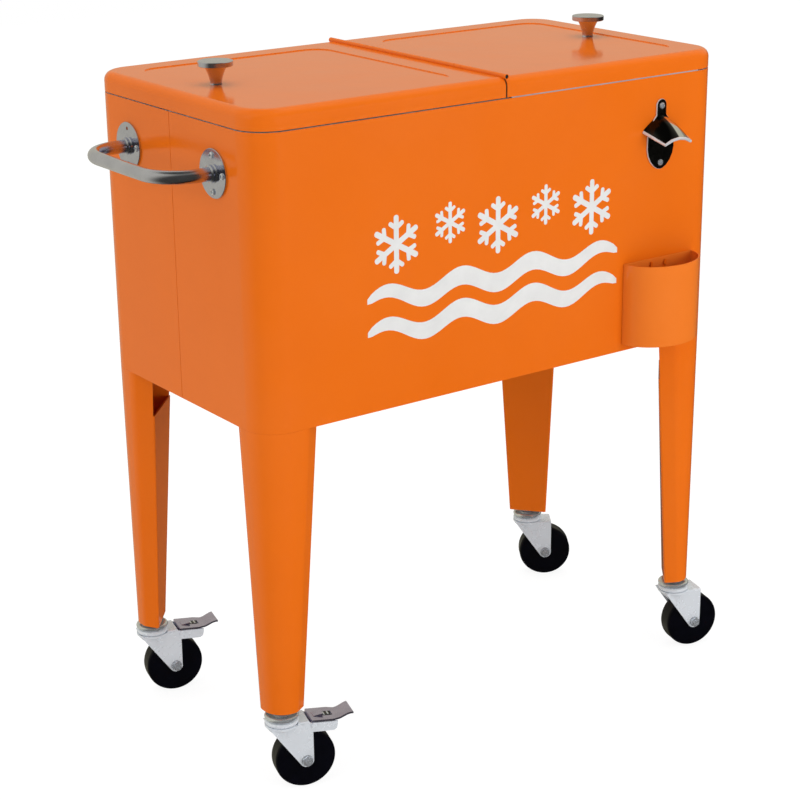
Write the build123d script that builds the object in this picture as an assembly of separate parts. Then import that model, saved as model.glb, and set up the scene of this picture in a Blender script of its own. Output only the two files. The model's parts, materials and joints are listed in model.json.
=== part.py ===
from build123d import *
from math import asin, atan2, cos, hypot, radians, sin, sqrt
import os

os.makedirs("parts", exist_ok=True)

# A rolling patio cooler: an insulated tub in a sheet-steel cabinet on four tapered legs with casters.
# X runs along its length, -Y is the front with the opener and the catcher, +Z is up, and the floor is z = 0.
# Everything is modelled round the middle of the cabinet and moved back by BODY_SHIFT when it is written.

# Clearances and cuts
OVERRUN = 5.0
SEAT_GAP = 0.3
TURN_GAP = 0.05
SCREW_GAP = 0.2

# Cabinet
BODY_LENGTH = 700.0
BODY_DEPTH = 368.0
BODY_BOTTOM = 464.0
BODY_HEIGHT = 348.0
CORNER_RADIUS = 40.0
SHEET = 1.2
SEAM = 0.6
BOTTOM_SHEET = 2.0

# Tub
TUB_INSET = 30.0
TUB_FLOOR_RISE = 58.0
TUB_RADIUS = 30.0
TUB_WALL = 2.0
TUB_FLANGE = 2.5

# Centre bar and hinge
BAR_WIDTH = 34.0
BAR_HEIGHT = 24.0
HINGE_RISE = 26.0
KNUCKLE_RADIUS = 3.2
ROD_RADIUS = 1.8
ROD_RECESS = 3.0
KNUCKLE_GAP = 0.5
LUG_THICKNESS = 2.4
LUG_INSET = 92.0
LUG_WIDTH = 14.0
SHORT_KNUCKLE = 14.0

# Lids
LID_SEAM = 1.5
LID_HEIGHT = 25.0
LID_SPLIT = 3.0
LID_EDGE_RADIUS = 11.0
LID_SHEET = 1.2
LID_INNER_WALL = 4.0
PANEL_BORDER = 40.0
PANEL_INNER_BORDER = 43.0
PANEL_RADIUS = 25.0
PANEL_DROP = 2.5
PAN_WALL = 2.0
PLUG_DEPTH = 12.0
PLUG_GAP = 3.0
GASKET_INSET = 4.0
GASKET_WIDTH = 6.0
GASKET_GAP = 0.1

# Knobs
KNOB_INSET = 65.0
KNOB_HEIGHT = 26.0
KNOB_RADIUS = 20.75
KNOB_RIM = 2.5
KNOB_RIM_ROUND = 0.8
KNOB_NECK_TOP = 12.5
KNOB_NECK_BOTTOM = 6.75
KNOB_NECK_HOLLOW = 3.0
KNOB_SCREW_RADIUS = 2.5
KNOB_SCREW_REACH = 12.0
KNOB_SCREW_HEAD_RADIUS = 5.0
KNOB_SCREW_HEAD_HEIGHT = 3.0

# End handles
HANDLE_DROP = 55.5
HANDLE_INSET = 86.0
HANDLE_REACH = 65.0
HANDLE_BEND = 45.0
TUBE_RADIUS = 8.0
TUBE_WALL = 1.5
FLANGE_RADIUS = 28.5
FLANGE_PLATE = 2.5
COLLAR_RADIUS = 10.25
COLLAR_LENGTH = 8.0
FLANGE_SCREW_CIRCLE = 21.0
SCREW_RADIUS = 2.0
SCREW_HEAD_RADIUS = 4.0
SCREW_HEAD_HEIGHT = 2.2
SCREW_REACH = 12.0

# Bottle opener
OPENER_INSET = 103.0
OPENER_SHEET = 2.5
OPENER_DROP = 28.0
OPENER_HEIGHT = 89.0
TAB_HALF_WIDTH = 8.0
TAB_HEIGHT = 22.0
HOOD_REACH = 26.0
HOOD_HALF_WIDTH = 28.0
HOOD_ROOT_DROP = 13.0
HOOD_RIM_DROP = 27.0
HOOD_NOTCH = 6.0
HOOD_CREASE = 22.0
PLATE_HALF_WIDTH = 22.0
PLATE_SHOULDER = 23.0
PLATE_TIP_RADIUS = 7.0
OPENER_TOP_SCREW_DROP = 8.5
OPENER_LOW_SCREW_RISE = 8.6

# Cap catcher
CATCHER_INSET = 100.0
CATCHER_WIDTH = 117.0
CATCHER_DEPTH = 47.0
CATCHER_HEIGHT = 106.0
CATCHER_RISE = 9.6
CATCHER_WALL = 1.5
CATCHER_FLOOR = 2.0
HOOK_INSETS = (112.5, 89.0)
HOOK_WIDTH = 3.0
HOOK_NECK = 2.4
HOOK_SHEET = 1.6
HOOK_TIP = 4.0
SLOT_WIDTH = 5.0
SLOT_HEIGHT = 8.5
SLOT_DROP = 8.0

# Legs
LEG_SHEET = 2.0
LEG_BEND = 2.5
LEG_END_WIDTHS = (60.0, 42.0)
LEG_FRONT_WIDTHS = (73.5, 38.5)
LEG_END_LIPS = (29.0, 15.0)
LEG_FRONT_LIPS = (27.0, 28.0)
LEG_CORNERS = (40.0, 34.0)
LEG_END_LEAN = 7.7
LEG_FRONT_LEAN = 3.5
NOTCH_HEIGHT = 62.5
NOTCH_RUN = 60.0
FOOT_PLATE = 3.0
LEG_BOLT_PLACES = ((16.0, 46.0), (55.0, 14.0), (24.0, 24.0))
LEG_BOLT_RADIUS = 3.0
LEG_BOLT_HEAD_RADIUS = 5.5
LEG_BOLT_HEAD_HEIGHT = 4.0
LEG_BOLT_REACH = 10.0

# Casters
CASTER_END_INSET = 26.5
CASTER_FRONT_INSET = 24.5
WHEEL_RADIUS = 38.0
WHEEL_WIDTH = 24.0
WHEEL_ROUND = 4.0
WHEEL_DISH = 2.0
WHEEL_DISH_RADIUS = 26.0
HUB_RADIUS = 11.0
HUB_WIDTH = 26.6
AXLE_RADIUS = 4.0
CASTER_TRAIL = 26.0
CASTER_ANGLES = {"front_left": -17.0, "rear_left": -14.0, "rear_right": -34.0, "front_right": -15.0}
BRAKED_CASTERS = ("front_left", "rear_left")
FORK_WIDTH = 33.0
FORK_SHEET = 2.5
WHEEL_CLEARANCE = 11.0
FORK_END_RADIUS = 9.0
FORK_BACK = 8.7
FORK_FRONT_REACH = 37.0
FORK_FRONT_RISE = 37.0
FORK_SHOULDER = 45.0
RACE_RADIUS = 21.0
RACE_ROUND = 2.4
LOWER_RACE_HEIGHT = 6.2
UPPER_RACE_HEIGHT = 6.2
RACE_GAP = 0.4
STEM_RADIUS = 4.0
STEM_COLLAR_RADIUS = 8.5
STEM_COLLAR_HEIGHT = 5.2
STEM_HEAD_RADIUS = 9.0
STEM_HEAD_HEIGHT = 3.5
STEM_REACH = 13.0
STEM_NUT_HALF_WIDTH = 6.0
STEM_NUT_HEIGHT = 6.5
NUT_HALF_WIDTH = 6.5
NUT_HEIGHT = 5.0
AXLE_END = 2.5

# Brake pedals
PIVOT_REACH = 10.0
PIVOT_DROP = 3.0
PIVOT_RADIUS = 2.0
PIVOT_HEAD_RADIUS = 3.6
PIVOT_HEAD_HEIGHT = 1.4
PEDAL_FRONT = 3.0
PEDAL_SHEET = 2.5
PEDAL_GAP = 0.8
PEDAL_ANGLE = 5.0
PEDAL_FLAT_REACH = 41.0
PEDAL_TAIL_REACH = 60.0
PEDAL_TIP_RISE = 10.0
PEDAL_HALF_WIDTH = 16.5
SHOE_FRONT = 3.5
SHOE_BACK = 3.5
SHOE_HALF_WIDTH = 10.0
SHOE_GAP = 0.6
ARM_REACH = 40.0
ARM_DEPTH = 12.0
ARM_ROUND = 5.0

# Drain
DRAIN_INSET = 94.0
DRAIN_RISE = 10.0
SPOUT_RADIUS = 9.0
SPOUT_BORE = 6.5
SPOUT_FLANGE_RADIUS = 15.0
SPOUT_FLANGE_HEIGHT = 3.0
SPOUT_REACH = 14.0
SPOUT_INSIDE = 6.0
DRAIN_NUT_HALF_WIDTH = 14.0
DRAIN_NUT_HEIGHT = 4.0
CAP_RADIUS = 12.5
CAP_LENGTH = 13.0
CAP_END = 3.0

# Places worked out from the sizes above
BODY_SHIFT = CATCHER_DEPTH / 2
BODY_TOP = BODY_BOTTOM + BODY_HEIGHT
HALF_LENGTH = BODY_LENGTH / 2
HALF_DEPTH = BODY_DEPTH / 2
TUB_LENGTH = BODY_LENGTH - 2 * TUB_INSET
TUB_WIDTH = BODY_DEPTH - 2 * TUB_INSET
TUB_FLOOR = BODY_BOTTOM + TUB_FLOOR_RISE
HINGE_HEIGHT = BODY_TOP + HINGE_RISE
LID_BOTTOM = BODY_TOP + LID_SEAM
LID_TOP = BODY_TOP + LID_HEIGHT
PANEL_TOP = LID_TOP - PANEL_DROP
PANEL_UNDER = PANEL_TOP - LID_SHEET
LUG_PLACE = HALF_DEPTH - LUG_INSET
KNOB_PLACE = HALF_LENGTH - KNOB_INSET
HANDLE_HEIGHT = BODY_TOP - HANDLE_DROP
HANDLE_SPREAD = HALF_DEPTH - HANDLE_INSET
OPENER_PLACE = HALF_LENGTH - OPENER_INSET
OPENER_TOP = BODY_TOP - OPENER_DROP
OPENER_BOTTOM = OPENER_TOP - OPENER_HEIGHT
CATCHER_PLACE = HALF_LENGTH - CATCHER_INSET
CATCHER_BOTTOM = BODY_BOTTOM + CATCHER_RISE
HOOK_PLACES = [HALF_LENGTH - inset for inset in HOOK_INSETS]
DRAIN_HEIGHT = TUB_FLOOR + DRAIN_RISE + SPOUT_RADIUS
DRAIN_LINE = (HALF_DEPTH - DRAIN_INSET, DRAIN_HEIGHT)
AXLE_HEIGHT = WHEEL_RADIUS
FORK_TOP = 2 * WHEEL_RADIUS + WHEEL_CLEARANCE
FORK_HALF = FORK_WIDTH / 2
FORK_INSIDE = FORK_HALF - FORK_SHEET
RACE_SPLIT = FORK_TOP + LOWER_RACE_HEIGHT
STEM_TOP_RACE = RACE_SPLIT + RACE_GAP
LEG_BOTTOM = STEM_TOP_RACE + UPPER_RACE_HEIGHT + STEM_COLLAR_HEIGHT
LEG_HEIGHT = BODY_BOTTOM - LEG_BOTTOM
PIVOT_X = CASTER_TRAIL + PIVOT_REACH
PIVOT_HEIGHT = FORK_TOP - PIVOT_DROP
PEDAL_TIP = FORK_TOP + PEDAL_TIP_RISE
PEDAL_BOTTOM = FORK_TOP + PEDAL_GAP
CORNERS = {
    "front_left": (-1, -1),
    "rear_left": (-1, 1),
    "rear_right": (1, 1),
    "front_right": (1, -1),
}
SIDES = {"left": -1, "right": 1}


def span(x, y, z):
    """A box from pairs of limits along each axis, in either order."""
    low = (min(x), min(y), min(z))
    high = (max(x), max(y), max(z))
    middle = [(a + b) / 2 for a, b in zip(low, high)]
    return Pos(*middle) * Box(*[b - a for a, b in zip(low, high)])


def slab(length, width, radius, bottom, top, x=0, y=0):
    """An upright block with rounded vertical corners."""
    outline = RectangleRounded(length, width, radius)
    return extrude(Pos(x, y, bottom) * outline, top - bottom)


def pin(start, end, radius):
    """A round bar between two points."""
    run = Vector(*end) - Vector(*start)
    place = Plane(origin=start, z_dir=run.normalized())
    return extrude(place * Circle(radius), run.length)


def write(name, *solids):
    """Writes one node, moved so that the finished cooler stands over the origin."""
    placed = [Pos(0, BODY_SHIFT, 0) * solid for solid in solids]
    shape = placed[0] if len(placed) == 1 else Compound(placed)
    export_step(shape, f"parts/{name}.step")


def pan_screw(place, outward, length, radius=SCREW_RADIUS):
    """A pan-head screw whose head sits on a face at place and points along outward."""
    seat = Vector(*place)
    way = Vector(*outward)
    scale = radius / SCREW_RADIUS
    head = pin(seat, seat + way * SCREW_HEAD_HEIGHT * scale, SCREW_HEAD_RADIUS * scale)
    rim = head.edges().sort_by(Axis(seat, way))[-1]
    head = fillet(rim, SCREW_HEAD_HEIGHT * scale / 2)
    return head + pin(seat - way * length, seat, radius)


def hex_bar(place, outward, half_width, height):
    """A hexagon nut or bolt head, measured across its flats."""
    seat = Plane(origin=place, z_dir=Vector(*outward))
    return extrude(seat * RegularPolygon(half_width, 6, major_radius=False), height)


def flange_places(side):
    """The two flange centres of one end, on the end face."""
    return [(side * HALF_LENGTH, y, HANDLE_HEIGHT) for y in (-HANDLE_SPREAD, HANDLE_SPREAD)]


def flange_holes(place):
    """The four screw places round a flange centre: up, down, front and back."""
    x, y, z = place
    r = FLANGE_SCREW_CIRCLE
    return [(x, y, z + r), (x, y, z - r), (x, y - r, z), (x, y + r, z)]


def handle_screw_places(side):
    """Every filled hole of one handle. The left rear flange has its upper and lower holes empty."""
    front, rear = flange_places(side)
    if side < 0:
        return flange_holes(front) + flange_holes(rear)[2:]
    return flange_holes(front) + flange_holes(rear)


def opener_screw_places():
    """The two screw places of the bottle opener, on the front face of its plate."""
    front = -HALF_DEPTH - OPENER_SHEET
    return [
        (OPENER_PLACE, front, OPENER_TOP - OPENER_TOP_SCREW_DROP),
        (OPENER_PLACE, front, OPENER_BOTTOM + OPENER_LOW_SCREW_RISE),
    ]


def leg_bolt_places(corner):
    """The bolts of one leg, on the underside of the bottom panel."""
    sx, sy = CORNERS[corner]
    return [(sx * (HALF_LENGTH - u), sy * (HALF_DEPTH - v), BODY_BOTTOM) for u, v in LEG_BOLT_PLACES]


def hook_root(x):
    """Where a catcher hook leaves the front panel."""
    neck_top = CATCHER_BOTTOM + CATCHER_HEIGHT - SLOT_DROP - TURN_GAP
    return (x, -HALF_DEPTH, neck_top - HOOK_NECK / 2)


# Cabinet shell: two bent sheets that meet in the middle of each end

def screw_holes(radius, inward):
    """Clearance bores behind every screw and hook in the shell, as deep as inward."""
    bores = []
    for side in SIDES.values():
        for x, y, z in handle_screw_places(side):
            bores.append(pin((x + side * OVERRUN, y, z), (x - side * inward, y, z), radius))
    for x, y, z in opener_screw_places():
        bores.append(pin((x, -HALF_DEPTH - OVERRUN, z), (x, -HALF_DEPTH + inward, z), radius))
    for x in HOOK_PLACES:
        x, y, z = hook_root(x)
        bores.append(pin((x, y - OVERRUN, z), (x, y + inward, z), radius))
    return bores


def inside_sheet(gap):
    """Length, width and corner radius of what fits inside the shell with a gap all round."""
    inset = SHEET + gap
    return BODY_LENGTH - 2 * inset, BODY_DEPTH - 2 * inset, CORNER_RADIUS - inset


shell = slab(BODY_LENGTH, BODY_DEPTH, CORNER_RADIUS, BODY_BOTTOM, BODY_TOP)
shell -= slab(*inside_sheet(0), BODY_BOTTOM - OVERRUN, BODY_TOP + OVERRUN)
for bore in screw_holes(SCREW_RADIUS + SCREW_GAP, SHEET + OVERRUN):
    shell -= bore
shell -= pin(
    (HALF_LENGTH - SHEET - OVERRUN, *DRAIN_LINE),
    (HALF_LENGTH + OVERRUN, *DRAIN_LINE),
    SPOUT_RADIUS + SCREW_GAP,
)
wide = (-HALF_LENGTH - OVERRUN, HALF_LENGTH + OVERRUN)
tall = (BODY_BOTTOM - OVERRUN, BODY_TOP + OVERRUN)
write("front_shell_panel", shell & span(wide, (-HALF_DEPTH - OVERRUN, -SEAM / 2), tall))
write("rear_shell_panel", shell & span(wide, (SEAM / 2, HALF_DEPTH + OVERRUN), tall))

bottom = slab(*inside_sheet(SEAT_GAP), BODY_BOTTOM, BODY_BOTTOM + BOTTOM_SHEET)
for corner in CORNERS:
    for x, y, z in leg_bolt_places(corner):
        bottom -= pin((x, y, z - OVERRUN), (x, y, z + OVERRUN), LEG_BOLT_RADIUS + SCREW_GAP)
write("bottom_panel", bottom)

# Inner liner: a tub with a flange that closes the top of the cabinet wall
liner_radius = TUB_RADIUS + TUB_WALL
liner_length = TUB_LENGTH + 2 * TUB_WALL
liner_width = TUB_WIDTH + 2 * TUB_WALL
liner = slab(liner_length, liner_width, liner_radius, TUB_FLOOR - TUB_WALL, BODY_TOP)
liner += slab(*inside_sheet(SEAT_GAP), BODY_TOP - TUB_FLANGE, BODY_TOP)
liner -= slab(TUB_LENGTH, TUB_WIDTH, TUB_RADIUS, TUB_FLOOR, BODY_TOP + OVERRUN)
liner -= pin(
    (TUB_LENGTH / 2 - OVERRUN, *DRAIN_LINE),
    (TUB_LENGTH / 2 + TUB_WALL + OVERRUN, *DRAIN_LINE),
    SPOUT_RADIUS + SCREW_GAP,
)
write("inner_liner", liner)

# Insulation between the shell, the bottom panel and the liner
foam_bottom = BODY_BOTTOM + BOTTOM_SHEET + SEAT_GAP
foam = slab(*inside_sheet(SEAT_GAP), foam_bottom, BODY_TOP - TUB_FLANGE - SEAT_GAP)
foam_inset = TUB_WALL + SEAT_GAP
foam -= slab(
    TUB_LENGTH + 2 * foam_inset,
    TUB_WIDTH + 2 * foam_inset,
    TUB_RADIUS + foam_inset,
    TUB_FLOOR - foam_inset,
    BODY_TOP + OVERRUN,
)
for bore in screw_holes(SCREW_RADIUS + SEAT_GAP, SCREW_REACH + SEAT_GAP):
    foam -= bore
for corner in CORNERS:
    for x, y, z in leg_bolt_places(corner):
        bolt_top = z + LEG_BOLT_REACH + SEAT_GAP
        foam -= pin((x, y, z), (x, y, bolt_top), LEG_BOLT_RADIUS + SEAT_GAP)
foam -= pin(
    (TUB_LENGTH / 2, *DRAIN_LINE),
    (HALF_LENGTH + OVERRUN, *DRAIN_LINE),
    SPOUT_RADIUS + SEAT_GAP,
)
write("insulation_foam", foam)


# Centre bar: it crosses the tub, carries the inner edges of both lids and holds the hinge rod

def hinge_cylinder(low, high, radius):
    """A cylinder round the hinge line from one depth to another."""
    return pin((0, low, HINGE_HEIGHT), (0, high, HINGE_HEIGHT), radius)


bar_half = TUB_WIDTH / 2 - SEAT_GAP
bar = span((-BAR_WIDTH / 2, BAR_WIDTH / 2), (-bar_half, bar_half), (BODY_TOP - BAR_HEIGHT, BODY_TOP))
for middle in (-LUG_PLACE, LUG_PLACE):
    low = middle - LUG_WIDTH / 2
    high = middle + LUG_WIDTH / 2
    bar += span((-LUG_THICKNESS / 2, LUG_THICKNESS / 2), (low, high), (BODY_TOP - BAR_HEIGHT, HINGE_HEIGHT))
    bar += hinge_cylinder(low, high, KNUCKLE_RADIUS)
bar -= hinge_cylinder(-HALF_DEPTH, HALF_DEPTH, ROD_RADIUS + TURN_GAP)
write("hinge_bar", bar)

rod_half = HALF_DEPTH - ROD_RECESS
write("hinge_rod", hinge_cylinder(-rod_half, rod_half, ROD_RADIUS))

# Depth ranges of the hinge knuckles: the left lid has a short one inside each lug, the right lid the rest
lug_inner = LUG_PLACE - LUG_WIDTH / 2 - KNUCKLE_GAP
lug_outer = LUG_PLACE + LUG_WIDTH / 2 + KNUCKLE_GAP
short_inner = lug_inner - SHORT_KNUCKLE
long_half = short_inner - KNUCKLE_GAP
KNUCKLES = {
    "left": [(-lug_inner, -short_inner), (short_inner, lug_inner)],
    "right": [(-HALF_DEPTH, -lug_outer), (-long_half, long_half), (lug_outer, HALF_DEPTH)],
}


def domed_slab(inset, bottom, top):
    """A block as long as both lids with its top edge rounded, smaller by inset on every side."""
    block = slab(
        BODY_LENGTH - 2 * inset,
        BODY_DEPTH - 2 * inset,
        CORNER_RADIUS - inset,
        bottom,
        top,
    )
    rim = block.edges().group_by(Axis.Z)[-1]
    return fillet(rim, LID_EDGE_RADIUS - min(inset, LID_SHEET))


def lid_half(side, inner):
    """The space of one lid, from inner to beyond the end of the cabinet."""
    high = (BODY_BOTTOM, LID_TOP + KNOB_HEIGHT)
    return span((side * inner, side * (HALF_LENGTH + OVERRUN)), (-BODY_DEPTH, BODY_DEPTH), high)


def panel_pocket(side, grow, bottom):
    """The sunk panel of one lid, grown all round, from bottom up past the top of the lid."""
    inner = PANEL_INNER_BORDER - grow
    outer = HALF_LENGTH - PANEL_BORDER + grow
    width = BODY_DEPTH - 2 * PANEL_BORDER + 2 * grow
    middle = side * (inner + outer) / 2
    return slab(outer - inner, width, PANEL_RADIUS + grow, bottom, LID_TOP + OVERRUN, x=middle)


def plug_slab(side, grow, bottom, top):
    """A block with the plan of the plug under one lid, grown all round."""
    inner = BAR_WIDTH / 2 + PLUG_GAP - grow
    outer = TUB_LENGTH / 2 - PLUG_GAP + grow
    width = TUB_WIDTH - 2 * PLUG_GAP + 2 * grow
    middle = side * (inner + outer) / 2
    return slab(outer - inner, width, TUB_RADIUS - PLUG_GAP + grow, bottom, top, x=middle)


def knob_axis(side, low, high, radius):
    """A cylinder on the axis of one knob."""
    return pin((side * KNOB_PLACE, 0, low), (side * KNOB_PLACE, 0, high), radius)


def make_knob(side):
    """A turned knob: a flat disc on a hollowed neck."""
    disc_under = KNOB_HEIGHT - KNOB_RIM
    neck = ThreePointArc(
        (KNOB_NECK_BOTTOM, 0),
        ((KNOB_NECK_BOTTOM + KNOB_NECK_TOP) / 2 - KNOB_NECK_HOLLOW, disc_under / 2),
        (KNOB_NECK_TOP, disc_under),
    )
    outline = neck + Polyline(
        (KNOB_NECK_TOP, disc_under),
        (KNOB_RADIUS, disc_under),
        (KNOB_RADIUS, KNOB_HEIGHT),
        (0, KNOB_HEIGHT),
        (0, 0),
        (KNOB_NECK_BOTTOM, 0),
    )
    knob = revolve(Plane.XZ * make_face(outline), Axis.Z)
    knob = fillet(knob.edges().sort_by(Axis.Z)[-1], KNOB_RIM_ROUND)
    knob = Pos(side * KNOB_PLACE, 0, PANEL_TOP) * knob
    bore = knob_axis(side, PANEL_TOP - OVERRUN, PANEL_TOP + KNOB_SCREW_REACH, KNOB_SCREW_RADIUS + SCREW_GAP)
    return knob - bore


def make_lid(name, side):
    """Skin, inner pan with its plug, foam, gasket, knob and knob screw of one lid."""
    split = LID_SPLIT / 2
    skin = domed_slab(0, LID_BOTTOM, LID_TOP) & lid_half(side, split)
    skin -= panel_pocket(side, 0, PANEL_TOP)
    hollow = domed_slab(LID_SHEET, LID_BOTTOM, LID_TOP - LID_SHEET)
    hollow = hollow & lid_half(side, split + LID_INNER_WALL)
    skin -= hollow - panel_pocket(side, LID_SHEET, PANEL_UNDER)
    skin -= hinge_cylinder(-BODY_DEPTH, BODY_DEPTH, KNUCKLE_RADIUS + KNUCKLE_GAP)
    leaf_reach = side * (KNUCKLE_RADIUS + LID_INNER_WALL)
    for low, high in KNUCKLES[name]:
        skin += hinge_cylinder(low, high, KNUCKLE_RADIUS)
        leaf = (max(low, LID_EDGE_RADIUS - HALF_DEPTH), min(high, HALF_DEPTH - LID_EDGE_RADIUS))
        skin += span((0, leaf_reach), leaf, (LID_TOP - LID_SHEET, LID_TOP))
    skin -= hinge_cylinder(-BODY_DEPTH, BODY_DEPTH, ROD_RADIUS + TURN_GAP)
    skin -= knob_axis(side, PANEL_UNDER - OVERRUN, LID_TOP + OVERRUN, KNOB_SCREW_RADIUS + SCREW_GAP)
    write(f"lid_{name}_skin", skin)

    pan_top = LID_BOTTOM + PAN_WALL
    plug_bottom = BODY_TOP - PLUG_DEPTH
    inner = split + LID_INNER_WALL + SEAT_GAP
    pan = domed_slab(LID_SHEET + SEAT_GAP, LID_BOTTOM, LID_TOP) & lid_half(side, inner)
    pan &= span(wide, (-BODY_DEPTH, BODY_DEPTH), (LID_BOTTOM, pan_top))
    pan += plug_slab(side, 0, plug_bottom, pan_top)
    pan -= plug_slab(side, -PAN_WALL, plug_bottom + PAN_WALL, pan_top + OVERRUN)
    write(f"lid_{name}_pan", pan)

    fill = domed_slab(LID_SHEET + SEAT_GAP, pan_top + SEAT_GAP, LID_TOP - LID_SHEET - SEAT_GAP)
    fill = fill & lid_half(side, inner)
    fill -= panel_pocket(side, LID_SHEET + SEAT_GAP, PANEL_UNDER - SEAT_GAP)
    fill += plug_slab(side, -PAN_WALL - SEAT_GAP, plug_bottom + PAN_WALL + SEAT_GAP, pan_top + PAN_WALL)
    head_bottom = PANEL_UNDER - KNOB_SCREW_HEAD_HEIGHT - SEAT_GAP
    fill -= knob_axis(side, head_bottom, LID_TOP, KNOB_SCREW_HEAD_RADIUS + SEAT_GAP)
    write(f"lid_{name}_foam", fill)

    gasket = plug_slab(side, GASKET_INSET + GASKET_WIDTH, BODY_TOP + GASKET_GAP, LID_BOTTOM)
    gasket -= plug_slab(side, GASKET_INSET, BODY_TOP - OVERRUN, BODY_TOP + OVERRUN)
    write(f"lid_{name}_gasket", gasket)

    write(f"lid_{name}_knob", make_knob(side))
    screw = knob_axis(side, PANEL_UNDER - KNOB_SCREW_HEAD_HEIGHT, PANEL_UNDER, KNOB_SCREW_HEAD_RADIUS)
    screw += knob_axis(side, PANEL_UNDER, PANEL_TOP + KNOB_SCREW_REACH, KNOB_SCREW_RADIUS)
    write(f"lid_{name}_knob_screw", screw)


for name, side in SIDES.items():
    make_lid(name, side)


# End handles: a tube bent square twice, with a round flange welded to each end

def make_handle(side):
    """The bent tube of one end."""
    start = side * HALF_LENGTH
    out = side * (HALF_LENGTH + HANDLE_REACH)
    points = [
        (start, -HANDLE_SPREAD, HANDLE_HEIGHT),
        (out, -HANDLE_SPREAD, HANDLE_HEIGHT),
        (out, HANDLE_SPREAD, HANDLE_HEIGHT),
        (start, HANDLE_SPREAD, HANDLE_HEIGHT),
    ]
    path = FilletPolyline(*points, radius=HANDLE_BEND)
    end = Plane(origin=points[0], z_dir=(side, 0, 0))
    outside = sweep(end * Circle(TUBE_RADIUS), path)
    return outside - sweep(end * Circle(TUBE_RADIUS - TUBE_WALL), path)


def make_flange(place, side):
    """A round mounting flange with a collar and four screw holes."""
    x, y, z = place
    flange = pin(place, (x + side * FLANGE_PLATE, y, z), FLANGE_RADIUS)
    flange += pin(place, (x + side * COLLAR_LENGTH, y, z), COLLAR_RADIUS)
    collar_end = x + side * (COLLAR_LENGTH + OVERRUN)
    flange -= pin((x - side * OVERRUN, y, z), (collar_end, y, z), TUBE_RADIUS + TURN_GAP)
    for hx, hy, hz in flange_holes(place):
        flange -= pin((hx - side * OVERRUN, hy, hz), (hx + side * OVERRUN, hy, hz), SCREW_RADIUS + SCREW_GAP)
    return flange


handle_screws = []
for name, side in SIDES.items():
    write(f"handle_{name}_tube", make_handle(side))
    write(f"handle_{name}_flanges", *[make_flange(place, side) for place in flange_places(side)])
    for x, y, z in handle_screw_places(side):
        seat = (x + side * FLANGE_PLATE, y, z)
        handle_screws.append(pan_screw(seat, (side, 0, 0), FLANGE_PLATE + SCREW_REACH))
write("handle_screws", *handle_screws)


# Bottle opener: a flat plate with a folded hood over its mouth

def opener_plate():
    """The back plate: a rounded tab, shoulders, and a lower part that narrows to a rounded tip."""
    tab_bottom = OPENER_TOP - TAB_HEIGHT
    tab = SlotOverall(2 * TAB_HEIGHT, 2 * TAB_HALF_WIDTH, rotation=90)
    shoulder = OPENER_BOTTOM + PLATE_SHOULDER
    tip = OPENER_BOTTOM + PLATE_TIP_RADIUS
    root = tab_bottom - HOOD_ROOT_DROP
    lower = make_face(
        Polyline(
            (-TAB_HALF_WIDTH, tab_bottom),
            (TAB_HALF_WIDTH, tab_bottom),
            (PLATE_HALF_WIDTH, root),
            (PLATE_HALF_WIDTH, shoulder),
            (PLATE_TIP_RADIUS, tip),
            (-PLATE_TIP_RADIUS, tip),
            (-PLATE_HALF_WIDTH, shoulder),
            (-PLATE_HALF_WIDTH, root),
            close=True,
        )
    )
    plate = Pos(0, tab_bottom) * tab + lower + Pos(0, tip) * Circle(PLATE_TIP_RADIUS)
    face = Plane(origin=(OPENER_PLACE, -HALF_DEPTH, 0), x_dir=(1, 0, 0), z_dir=(0, -1, 0))
    return extrude(face * plate, OPENER_SHEET)


def hood_strip(depth, outer, inner, outer_height, inner_height):
    """One end of the hood sheet: a strip over the mouth, bent down at both sides."""
    line = [(-outer, outer_height), (-inner, inner_height), (inner, inner_height), (outer, outer_height)]
    under = [(x, z - OPENER_SHEET) for x, z in reversed(line)]
    face = Plane(origin=(OPENER_PLACE, -HALF_DEPTH - depth, 0), x_dir=(1, 0, 0), z_dir=(0, -1, 0))
    return face * make_face(Polyline(*line, *under, close=True))


tab_bottom = OPENER_TOP - TAB_HEIGHT
rim = tab_bottom - HOOD_RIM_DROP
opener = opener_plate()
opener += loft(
    [
        hood_strip(0, PLATE_HALF_WIDTH, TAB_HALF_WIDTH, tab_bottom - HOOD_ROOT_DROP, tab_bottom),
        hood_strip(HOOD_REACH, HOOD_HALF_WIDTH, HOOD_CREASE, rim, rim + HOOD_NOTCH),
    ],
    ruled=True,
)
for x, y, z in opener_screw_places():
    opener -= pin((x, y - OVERRUN, z), (x, y + OVERRUN, z), SCREW_RADIUS + SCREW_GAP)
write("bottle_opener", opener)
opener_screws = [pan_screw(place, (0, -1, 0), OPENER_SHEET + SCREW_REACH) for place in opener_screw_places()]
write("opener_screws", *opener_screws)


# Cap catcher: a half-round cup that hangs on two hooks

def half_ellipse(inset, bottom, top):
    """A block whose plan is half an ellipse, flat against the front of the cabinet."""
    back = -HALF_DEPTH - SEAT_GAP - inset
    half = CATCHER_WIDTH / 2 - inset
    deep = CATCHER_DEPTH - SEAT_GAP - 2 * inset
    plan = Pos(CATCHER_PLACE, back, bottom) * Ellipse(half, deep)
    block = extrude(plan, top - bottom)
    return block & span((0, BODY_LENGTH), (back, -BODY_DEPTH), (bottom, top))


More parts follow.
